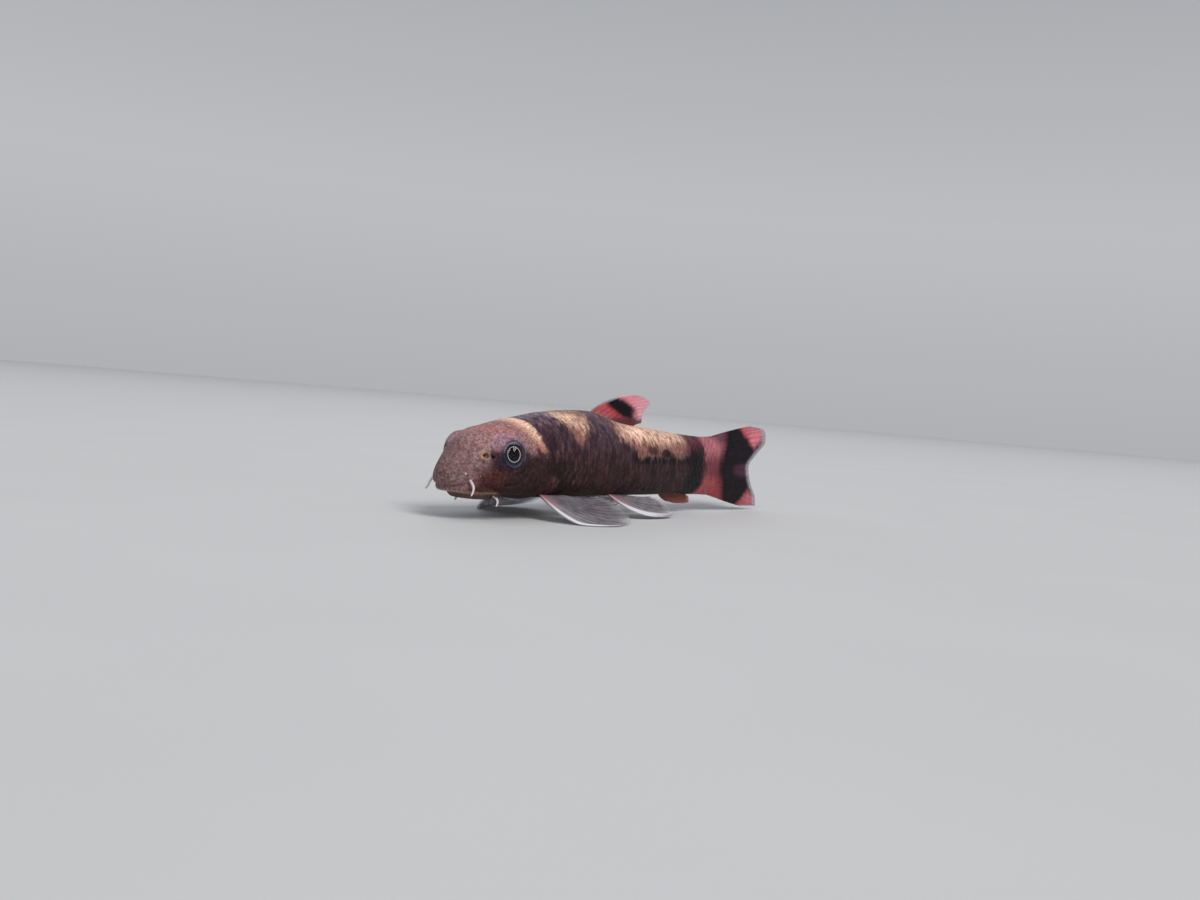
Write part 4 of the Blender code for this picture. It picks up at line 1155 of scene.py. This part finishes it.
    def finish(self, colours):
        """The skin's colours, partly taken from the scale's own seat, with a darker rim and fine ridges."""
        finish = Finish("scale_horn", IOR=1.38, Specular_IOR_Level=0.10, Coat_Roughness=0.12)
        place = finish.place()
        seat = finish.noted("seat").stretched(SEAT_SHARE, SEAT_SHARE, SEAT_SHARE)
        mixed = seat.joined("ADD", place.stretched(1 - SEAT_SHARE, 1 - SEAT_SHARE, 1 - SEAT_SHARE))
        colour, along = body_colour(mixed, colours)
        back, wide, chance = finish.noted("form").parts()
        rim = (((back - 0.25) / 0.75) ** 2.0 + wide ** 2.0 * 0.62).limited().rise(0.55, 0.98)
        streak = back.rise(0.50, 0.62) * back.rise(0.95, 0.66) * wide.rise(0.75, 0.1)
        calm = 1.0 - along.rise(88.0, 95.0) * 0.75
        tone = ((chance - 0.45) * 0.36 * calm + 1.0) * (1.0 - rim * calm * 0.26)
        tone = tone * (streak * calm * 0.28 + 1.0)
        ridges = finish.node("ShaderNodeTexWave", {"bands_direction": "Z"},
                             {"Vector": place, "Scale": SCALE_RIDGES, "Distortion": 3.0, "Detail": 1.0})
        finish.shade(Base_Color=colour.scaled(tone),
                     Roughness=rim * 0.14 + 0.46,
                     Coat_Weight=0.05 - rim * 0.03,
                     Normal=finish.bump(ridges, 0.05, 0.35))
        return finish.material


class GARRA_OT_tubercles(bpy.types.Operator):
    """Small pale bumps on the snout"""

    bl_idname = "garra.tubercles"
    bl_label = "Snout bumps"

    def execute(self, context):
        made = []
        for along, height, size in TUBERCLES:
            for side in (-1, 1):
                place, outward = side_place(along, height, side)
                piece = add("snout_bumps", bpy.ops.mesh.primitive_uv_sphere_add, segments=12, ring_count=8)
                ball = points_of(piece) * (size, size, size * TUBERCLE_HEIGHT_SHARE)
                set_points(piece, in_frame(ball @ turned_to(outward) + place))
                made.append(piece)
        piece = made[0]
        select_only(piece)
        for other in made:
            other.select_set(True)
        bpy.ops.object.join()
        bpy.ops.object.shade_smooth()
        finish = Finish("white_bump", Roughness=0.35, Coat_Weight=0.3)
        colours = context.scene.garra_colours
        mottle = finish.place().noise(0.3)
        finish.shade(Base_Color=mottle.rise(0.3, 0.7).between(colours.snout, colours.fin_white))
        settle(piece, finish.material, "skin")
        return {"FINISHED"}


class GARRA_OT_eyes(bpy.types.Operator):
    """Both eyes: a dark ball with a sunk iris and pupil, under a clear dome"""

    bl_idname = "garra.eyes"
    bl_label = "Eyes"

    def execute(self, context):
        iris = self.iris_finish(context.scene.garra_colours)
        dome = self.dome_finish()
        for side, name in SIDES:
            ball = self.add_ball("eye_ball_" + name, side, BALL_SHARE, sunk=True)
            settle(ball, iris, "eye", "eye_" + name)
            cover = self.add_ball("eye_dome_" + name, side, DOME_SHARE, sunk=False, bulge=DOME_BULGE)
            settle(cover, dome, "eye")
            settle(self.add_lid("eye_lid_" + name, side), bpy.data.materials["moist_skin"], "skin")
        return {"FINISHED"}

    def add_lid(self, name, side):
        """The thin round edge of the skin where it meets an eye."""
        piece = add(name, bpy.ops.mesh.primitive_torus_add, major_segments=96, minor_segments=14,
                    major_radius=1.0, minor_radius=0.5)
        ring = points_of(piece)
        reach = np.hypot(ring[:, 0], ring[:, 1])
        radius = LID_EDGE + (reach - 1.0) * 2 * LID_RIM
        level = EYE_DEPTH * math.sqrt(1 - (LID_EDGE / EYE_RADIUS) ** 2) - LID_SUNK
        ring[:, :2] *= (radius / reach)[:, None]
        ring[:, 2] = ring[:, 2] * 2 * LID_RIM + level
        set_points(piece, in_frame(ring @ eye_frame(side) + eye_place(side)))
        close_up(piece)
        return piece

    def add_ball(self, name, side, share, sunk, bulge=1.0):
        """An eye's ball, with the iris sunk into its front where it is asked for."""
        piece = add(name, bpy.ops.mesh.primitive_uv_sphere_add, segments=64, ring_count=48)
        ball = points_of(piece)
        radius = np.hypot(ball[:, 0], ball[:, 1])
        gaze = ball.copy()
        if sunk:
            pupil = ease(PUPIL_RADIUS + 0.03, PUPIL_RADIUS - 0.05, radius)
            dish = IRIS_LEVEL - IRIS_FALL * radius - IRIS_FALL * pupil
            ball[:, 2] = np.minimum(ball[:, 2], dish)
        size = np.array([EYE_RADIUS, EYE_RADIUS, EYE_DEPTH * bulge]) * share
        set_points(piece, in_frame((ball * size) @ eye_frame(side) + eye_place(side)))
        note(piece, "gaze", gaze)
        close_up(piece)
        return piece

    def iris_finish(self, colours):
        """Blue black, with a lit upper arc, a reddish rear, a painted bluish highlight below the pupil, and a
        bright ring round the pupil.
        """
        finish = Finish("dark_iris", Roughness=0.5, Specular_IOR_Level=0.03)
        back, up, _ = finish.noted("gaze").parts()
        radius = (back * back + up * up) ** 0.5
        coat = Coat(finish.place().noise(0.5, 3.0).rise(0.35, 0.75), colours.iris_dark, colours.iris)
        arc = radius.within(0.74, 0.88, 0.05)
        coat.lay(arc * (up - back * 0.45).rise(0.25, 0.75) * 0.5, colours.iris_arc)
        coat.lay(arc * back.rise(0.2, 0.7) * 0.5, colours.iris_rear)
        # Painted highlight: a bluish arc below the pupil.
        coat.lay(arc * up.rise(-0.35, -0.8) * 0.4, colours.iris_low_highlight)
        coat.lay(radius.within(PUPIL_RADIUS + 0.012, PUPIL_RADIUS + 0.050, 0.012), colours.pupil_ring)
        coat.lay(radius.rise(PUPIL_RADIUS + 0.01, PUPIL_RADIUS - 0.01), colours.pupil)
        coat.lay(radius.rise(0.90, 0.96), colours.cheek)
        finish.shade(Base_Color=coat.colour)
        return finish.material

    def dome_finish(self):
        """A clear wet dome: nothing but a mirror that shows where the dome turns away."""
        finish = Finish("clear_dome", Base_Color=(1.0, 1.0, 1.0, 1.0), Metallic=1.0, Roughness=0.03)
        turned = finish.node("ShaderNodeLayerWeight", {}, {"Blend": 0.5}, output=1)
        share = turned ** 4.0 * 0.85 + 0.02
        clear = finish.node("ShaderNodeBsdfTransparent", {}, {})
        wet = Term(finish, finish.shader.outputs[0])
        mixed = finish.node("ShaderNodeMixShader", {}, {0: share, 1: clear, 2: wet})
        output = finish.tree.nodes["Material Output"]
        finish.fill(output.inputs["Surface"], mixed)
        return finish.material


# Fins and feelers

def fin_surface(outline, across, out):
    """The middle of a fin, across its rays and out along them."""
    root, knee, tip = [smooth_line(outline[part], across) for part in ("root", "knee", "tip")]
    out = out[:, None]
    points = root * (1 - out) ** 2 + knee * 2 * out * (1 - out) + tip * out ** 2
    above = points[:, 2] - LOWEST_MIDDLE
    points[:, 2] = LOWEST_MIDDLE + (above + np.sqrt(above ** 2 + FLOOR_BEND ** 2)) / 2
    return points


def add_fin(name, outline, sizes, side=0):
    """A thin fin ridged by rays that branch towards its edge. A paired fin has a side."""
    gaps = outline["rays"] - 1
    fine = 1.0 if side == 0 else PAIRED_RAY_SHARE
    piece, across, out = add_grid(name, gaps * COLUMNS_BETWEEN_RAYS, FIN_ROWS)
    ray = np.rint(across * gaps)
    off = np.abs(across * gaps - ray)
    branched = (ray > 0.5) & (ray < gaps - 0.5)
    spread = BRANCH_SPREAD * ease(BRANCH_START, 1.1, out) * branched
    ridge = bump(off - spread, RAY_WIDTH * (0.5 + 0.5 * fine) * (1 - 0.35 * out))
    first = ease(0.9, 0.3, across * gaps)
    noise = np.sin(across * gaps * FRAY_WAVES[0]) * np.sin(across * gaps * FRAY_WAVES[1] + 1.0)
    reach = 1 - EDGE_NOTCH * (1 - ridge) * out - EDGE_FRAY * (0.5 + 0.5 * noise) * out
    places = fin_surface(outline, across, out * reach)
    pleat = PLEAT * fine * (ridge - 0.5) * out * (1 - first)
    places[:, 1 if side == 0 else 2] += pleat
    if side != 0:
        places[:, 1] *= side
        places[:, 2] = np.maximum(places[:, 2], LOWEST_MIDDLE)
    set_points(piece, in_frame(swung(places)))
    note(piece, "fan", np.stack([across * gaps, out, ridge], axis=-1))
    most = sizes.ray_thickness
    thick = most * (1 - (1 - RAY_TIP_SHARE) * out) * (fine + (1 - fine) * first)
    thin = sizes.membrane_thickness * (1 - (1 - MEMBRANE_TIP_SHARE) * out)
    share = (thin + (thick - thin) * ridge) / most
    group = piece.vertex_groups.new(name="thickness")
    for number, amount in enumerate(share.tolist()):
        group.add([number], amount, "REPLACE")
    sheet = piece.modifiers.new("thickness", "SOLIDIFY")
    sheet.thickness = most
    sheet.offset = 0.0
    sheet.vertex_group = group.name
    apply_modifiers(piece)
    points = points_of(piece)
    points[:, 2] = np.maximum(points[:, 2], 0.0)
    set_points(piece, points)
    close_up(piece, 1e-8)
    return piece


class GARRA_OT_red_fins(bpy.types.Operator):
    """Dorsal, anal and tail fins, red with a black blotch or band and clear hems"""

    bl_idname = "garra.red_fins"
    bl_label = "Red fins"

    def execute(self, context):
        sizes, colours = context.scene.garra_sizes, context.scene.garra_colours
        fins = (
            ("dorsal", DORSAL_FIN, self.paint_dorsal, ("dorsal_fin",)),
            ("anal", ANAL_FIN, self.paint_anal, ("anal_fin",)),
            ("tail_fin", CAUDAL_FIN, self.paint_tail, ("caudal_fin_upper", "caudal_fin_lower")),
        )
        for name, outline, paint, nodes in fins:
            piece = add_fin(name, outline, sizes)
            finish = Finish(name + "_membrane", Roughness=0.5, Specular_IOR_Level=0.10)
            place = finish.place()
            ray, out, ridge = finish.noted("fan").parts()
            colour, solid = paint(place, ray, out, ridge, colours)
            joints = place.noise(0.5, 1.0).rise(0.35, 0.6)
            finish.shade(Base_Color=colour.scaled(joints * ridge * 0.35 + 0.85), Alpha=solid)
            settle(piece, finish.material, "red_fin", *nodes)
        return {"FINISHED"}

    def paint_dorsal(self, place, ray, out, ridge, colours):
        """Brownish in front, red, with a slanting black blotch, painted shadow along its base and a pink rear
        tip.
        """
        along, _, height = body_place(place)
        wander = (place.noise(2.2) - 0.5) * 3.2
        ragged = (place.noise(0.8, 3.0) - 0.5) * 1.6
        coat = Coat((along + wander).rise(45.0, 51.5), colours.fin_root, colours.fin_red)
        coat.lay((height + ragged).rise(24.6, 23.4) * along.rise(56.0, 52.0), colours.fin_root)
        above = (along - BLOTCH_PLACE[0]) * 0.30 + height - BLOTCH_PLACE[1]
        rear = (along + (height - 26.0) * 0.8 + wander).rise(58.5, 63.5)
        tip = (rear + above.rise(0.4, 1.9)).limited()
        coat.lay(tip, colours.fin_pink)
        coat.lay(tip * (along + wander * 0.5).rise(62.0, 66.5) * (ridge * 0.3 + 0.15), colours.fin_white)
        thick = 1.75 - abs(along - BLOTCH_MIDDLE) * 0.12
        blotch = (abs(above + 0.3 + ragged * 0.6) - thick).rise(1.4, -0.5)
        blotch = blotch * (along + wander).rise(49.5, 53.5) * (along + wander).rise(65.2, 61.8)
        coat.lay(blotch, colours.black)
        # Painted shadow where the fin meets the back, in the dark colour of the back's bands.
        dorsal_base_shadow = (height + wander * 0.3).rise(24.6, 22.9) * along.rise(51.0, 57.0)
        coat.lay(dorsal_base_shadow * 0.85, colours.upper_flank)
        coat.lay(ray.rise(0.7, 0.1) * along.rise(48.0, 55.0) * 0.5, colours.fin_white)
        return coat.colour, 1.0 - out.rise(0.93, 1.0) * 0.45 - tip * (1 - ridge) * 0.15

    def paint_anal(self, place, ray, out, ridge, colours):
        """Dusky at the root and dull red outwards."""
        shade = place.noise(1.5, 3.0).rise(0.3, 0.7)
        coat = Coat(out.rise(0.5, 0.1), colours.fin_dusk, colours.dark_red)
        coat.lay((out * 0.14 + shade * 0.10).limited(), colours.fin_red)
        coat.lay(ridge * 0.06, colours.fin_pink)
        hem = out.rise(0.82, 1.0)
        coat.lay(hem * 0.15, colours.fin_pink)
        return coat.colour, 0.97 - hem * 0.4

    def paint_tail(self, place, ray, out, ridge, colours):
        """The red of the root, a broad black band with a plum middle, pink tips and a clear hem."""
        along, _, height = body_place(place)
        wander = place.noise(4.0) - 0.5
        ragged = (place.stretched(0.35, 1.0, 1.0).noise(0.7) - 0.5) * 3.0
        edge = along + wander * 4.0
        start = abs(height - 12.5).rise(1.0, 8.0) * 1.8 + TAIL_BAND
        dark = place.noise(2.0).rise(0.45, 0.8).between(colours.black, colours.plum_black)
        red = tail_red(along, height, wander, colours)
        coat = Coat((edge + ragged * 0.4 - start).rise(-2.8, 1.8), red, dark)
        middle = spot(along + wander * 2.0, height + ragged * 0.3, *TAIL_MIDDLE, fades=(1.5, 0.0))
        coat.lay(middle * 0.60, colours.plum)
        bright = ridge * 0.25 + edge.rise(115.0, 122.0) * 0.3 + 0.15
        bright = bright.between(colours.fin_red, colours.fin_pink)
        above = abs(edge - UPPER_TIP[0]) * 0.60 + (UPPER_TIP[1] - height) * 0.92 - 1.2 + ragged * 0.4
        coat.lay(above.rise(3.4, 0.2), bright)
        below = abs(edge - LOWER_TIP[0]) * 0.60 + (height - LOWER_TIP[1]) * 0.9 - 0.8 + ragged * 0.4
        coat.lay(below.rise(3.2, 0.2), bright.scaled(0.74))
        hem = out.rise(0.86, 0.985)
        coat.lay(hem * 0.75, (ridge * 0.25).between(colours.fin_hem, colours.fin_white))
        return coat.colour, 1.0 - hem * 0.62


class GARRA_OT_paired_fins(bpy.types.Operator):
    """Pectoral and pelvic fins, clear grey with fine rays and a white leading edge"""

    bl_idname = "garra.paired_fins"
    bl_label = "Paired fins"

    def execute(self, context):
        sizes, colours = context.scene.garra_sizes, context.scene.garra_colours
        fins = (("pectoral", PECTORAL_FIN, 0.25, 0.0), ("pelvic", PELVIC_FIN, 0.40, 1.9))
        for name, outline, blush, fan in fins:
            finish = self.finish(name, blush, fan, colours)
            for side, side_name in SIDES:
                piece = add_fin(name + "_" + side_name, outline, sizes, side)
                settle(piece, finish, "paired_fin", name + "_fin_" + side_name)
        return {"FINISHED"}

    def finish(self, name, blush, fan, colours):
        """Clear film between fine rays, with a white leading edge that a fan widens, and a pink root."""
        finish = Finish(name + "_membrane", Roughness=0.42, Specular_IOR_Level=0.15)
        place = finish.place()
        fan_place = finish.noted("fan")
        ray, out, ridge = fan_place.parts()
        threads = fan_place.stretched(2.6 * HUNDREDTH, 0.9 * HUNDREDTH, 0.0).noise(1.0, 4.0)
        lines = threads.rise(0.47, 0.60)
        film = place.noise(1.8, 3.0).rise(0.38, 0.66).between(colours.fin_clear, colours.fin_shade)
        rays = ray.rise(1.5, 4.5).between(colours.fin_light_ray, colours.fin_dark_ray)
        coat = Coat(lines * 0.55, film, rays)
        coat.lay(ridge * 0.35, colours.fin_light_ray)
        glow = ray.rise(3.2, 0.6) * out.rise(0.9, 0.3) * (lines * 0.5 + 0.5)
        coat.lay(glow * 0.45, colours.feeler)
        lead = (ray - out * fan).rise(0.95, 0.30)
        coat.lay(lead * out.rise(1.1, 0.6) * 0.9, colours.fin_white)
        coat.lay(out.rise(blush, 0.0) * ray.rise(5.0, 1.0) * 0.8, colours.pink)
        hem = out.rise(0.80, 1.0)
        coat.lay(hem * 0.30, colours.fin_white)
        solid = ridge * 0.16 + lines * 0.14 + 0.56 + lead * 0.5 + out.rise(0.5, 0.0) * 0.3
        finish.shade(Base_Color=coat.colour, Alpha=(solid - hem * 0.45).limited())
        return finish.material


class GARRA_OT_barbels(bpy.types.Operator):
    """Four short feelers round the mouth"""

    bl_idname = "garra.barbels"
    bl_label = "Feelers"

    def execute(self, context):
        colours = context.scene.garra_colours
        finish = Finish("feeler_skin", Roughness=0.36, Coat_Weight=0.25, Coat_Roughness=0.15)
        mottle = finish.place().noise(0.5, 3.0)
        finish.shade(Base_Color=(mottle.rise(0.25, 0.55) * 0.55 + 0.45).between(colours.ring, colours.feeler),
                     Normal=finish.bump(mottle, 0.15, 0.5))
        for kind, route in (("snout", SNOUT_BARBEL), ("mouth", MOUTH_BARBEL)):
            for side, name in SIDES:
                piece = self.add_feeler(kind + "_feeler_" + name, np.array(route) * (1, side, 1))
                settle(piece, finish.material, "barbel", kind + "_barbel_" + name)
        return {"FINISHED"}

    def add_feeler(self, name, bends):
        """A tapering round feeler with a round tip, and faint rings."""
        piece, around, out = add_grid(name, BARBEL_SIDES, BARBEL_ROWS)
        line = smooth_line(bends, out)
        ahead = smooth_line(bends, np.minimum(out + BARBEL_STEP, 1.0))
        ahead -= smooth_line(bends, np.maximum(out - BARBEL_STEP, 0.0))
        ahead /= np.linalg.norm(ahead, axis=1, keepdims=True)
        one = np.cross(ahead, (1.0, 0.0, 0.0))
        one /= np.linalg.norm(one, axis=1, keepdims=True)
        other = np.cross(ahead, one)
        rings = 1 + BARBEL_RING_DEPTH * np.sin(out * BARBEL_RINGS)
        radius = BARBEL_RADIUS * (1 - (1 - BARBEL_TIP_SHARE) * out) * rings
        round_tip = np.clip((out - BARBEL_ROUND_FROM) / (1 - BARBEL_ROUND_FROM), 0, 1)
        radius = radius * np.sqrt(np.clip(1 - round_tip ** 2, 0, 1))
        radius = radius * np.sqrt(np.clip(out / BARBEL_ROOT_SHARE, 0, 1))
        angle = around * 2 * math.pi
        places = line + radius[:, None] * (one * np.cos(angle)[:, None] + other * np.sin(angle)[:, None])
        set_points(piece, in_frame(places))
        close_up(piece)
        return piece


# Stage

class GARRA_OT_stage(bpy.types.Operator):
    """A plain pale floor, soft studio light and the camera at the photo's place"""

    bl_idname = "garra.stage"
    bl_label = "Stage"

    def execute(self, context):
        scene = context.scene
        floor = add("floor", bpy.ops.mesh.primitive_plane_add, size=FLOOR_SIZE)
        finish = Finish("pale_floor", Roughness=0.75)
        finish.shade(Base_Color=finish.place().noise(60.0).between(*FLOOR_COLOURS))
        floor.data.materials.append(finish.material)
        self.add_world(scene)
        for name, settings in LIGHTS.items():
            self.add_light(name, *settings)
        self.add_camera(scene)
        scene.view_settings.view_transform = "Standard"
        return {"FINISHED"}

    def add_world(self, scene):
        """A plain studio round the floor, as bright as the floor where they meet and dimmer above."""
        world = bpy.data.worlds.new("studio")
        world.use_nodes = True
        tree = world.node_tree
        look = tree.nodes.new("ShaderNodeTexCoord")
        split = tree.nodes.new("ShaderNodeSeparateXYZ")
        blend = tree.nodes.new("ShaderNodeValToRGB")
        stops = blend.color_ramp.elements
        stops.remove(stops[1])
        for height, colour in WORLD_COLOURS[1:]:
            stops.new(height).color = (*colour, 1.0)
        stops[0].color = (*WORLD_COLOURS[0][1], 1.0)
        tree.links.new(look.outputs["Generated"], split.inputs[0])
        tree.links.new(split.outputs["Z"], blend.inputs[0])
        tree.links.new(blend.outputs[0], tree.nodes["Background"].inputs["Color"])
        scene.world = world

    def add_light(self, name, place, size, power, colour):
        """A round soft light that looks at the fish."""
        light = add(name, bpy.ops.object.light_add, type="AREA", location=place)
        light.data.energy = power
        light.data.shape = "DISK"
        light.data.size = size
        light.data.color = colour
        x, y, z = place
        flat = math.hypot(x, y)
        light.rotation_euler = (math.atan2(flat, z), 0.0, math.atan2(y, x) + math.pi / 2)

    def add_camera(self, scene):
        """The camera, from its place and its three angles."""
        camera = add("camera", bpy.ops.object.camera_add, location=in_frame(CAMERA_PLACE).tolist())
        camera.data.sensor_width = CAMERA_SENSOR
        camera.data.lens = CAMERA_LENS
        camera.data.clip_start, camera.data.clip_end = CAMERA_SEES
        turn = Matrix.Rotation(CAMERA_AZIMUTH, 3, "Z")
        turn = turn @ Matrix.Rotation(math.pi / 2 - CAMERA_ELEVATION, 3, "X")
        camera.rotation_euler = (turn @ Matrix.Rotation(CAMERA_ROLL, 3, "Z")).to_euler()
        scene.camera = camera


class GARRA_PT_pieces(bpy.types.Panel):
    """Every piece of the fish, and its sizes and colours"""

    bl_label = "Panda Garra"
    bl_idname = "GARRA_PT_pieces"
    bl_space_type = "VIEW_3D"
    bl_region_type = "UI"
    bl_category = "Garra"

    def draw(self, context):
        for operator in OPERATORS:
            self.layout.operator(operator.bl_idname)
        for settings in (context.scene.garra_sizes, context.scene.garra_colours):
            for name in settings.__annotations__:
                self.layout.prop(settings, name)


OPERATORS = (GARRA_OT_skin, GARRA_OT_scales, GARRA_OT_tubercles, GARRA_OT_eyes, GARRA_OT_red_fins,
             GARRA_OT_paired_fins, GARRA_OT_barbels, GARRA_OT_stage)
CLASSES = (GarraColours, GarraSizes, *OPERATORS, GARRA_PT_pieces)


def register():
    for cls in CLASSES:
        bpy.utils.register_class(cls)
    bpy.types.Scene.garra_colours = bpy.props.PointerProperty(type=GarraColours)
    bpy.types.Scene.garra_sizes = bpy.props.PointerProperty(type=GarraSizes)


def unregister():
    del bpy.types.Scene.garra_sizes
    del bpy.types.Scene.garra_colours
    for cls in reversed(CLASSES):
        bpy.utils.unregister_class(cls)


def main():
    """Makes every piece in order."""
    register()
    bpy.ops.garra.skin()
    bpy.ops.garra.scales()
    bpy.ops.garra.tubercles()
    bpy.ops.garra.eyes()
    bpy.ops.garra.red_fins()
    bpy.ops.garra.paired_fins()
    bpy.ops.garra.barbels()
    bpy.ops.garra.stage()


if __name__ == "__main__":
    main()
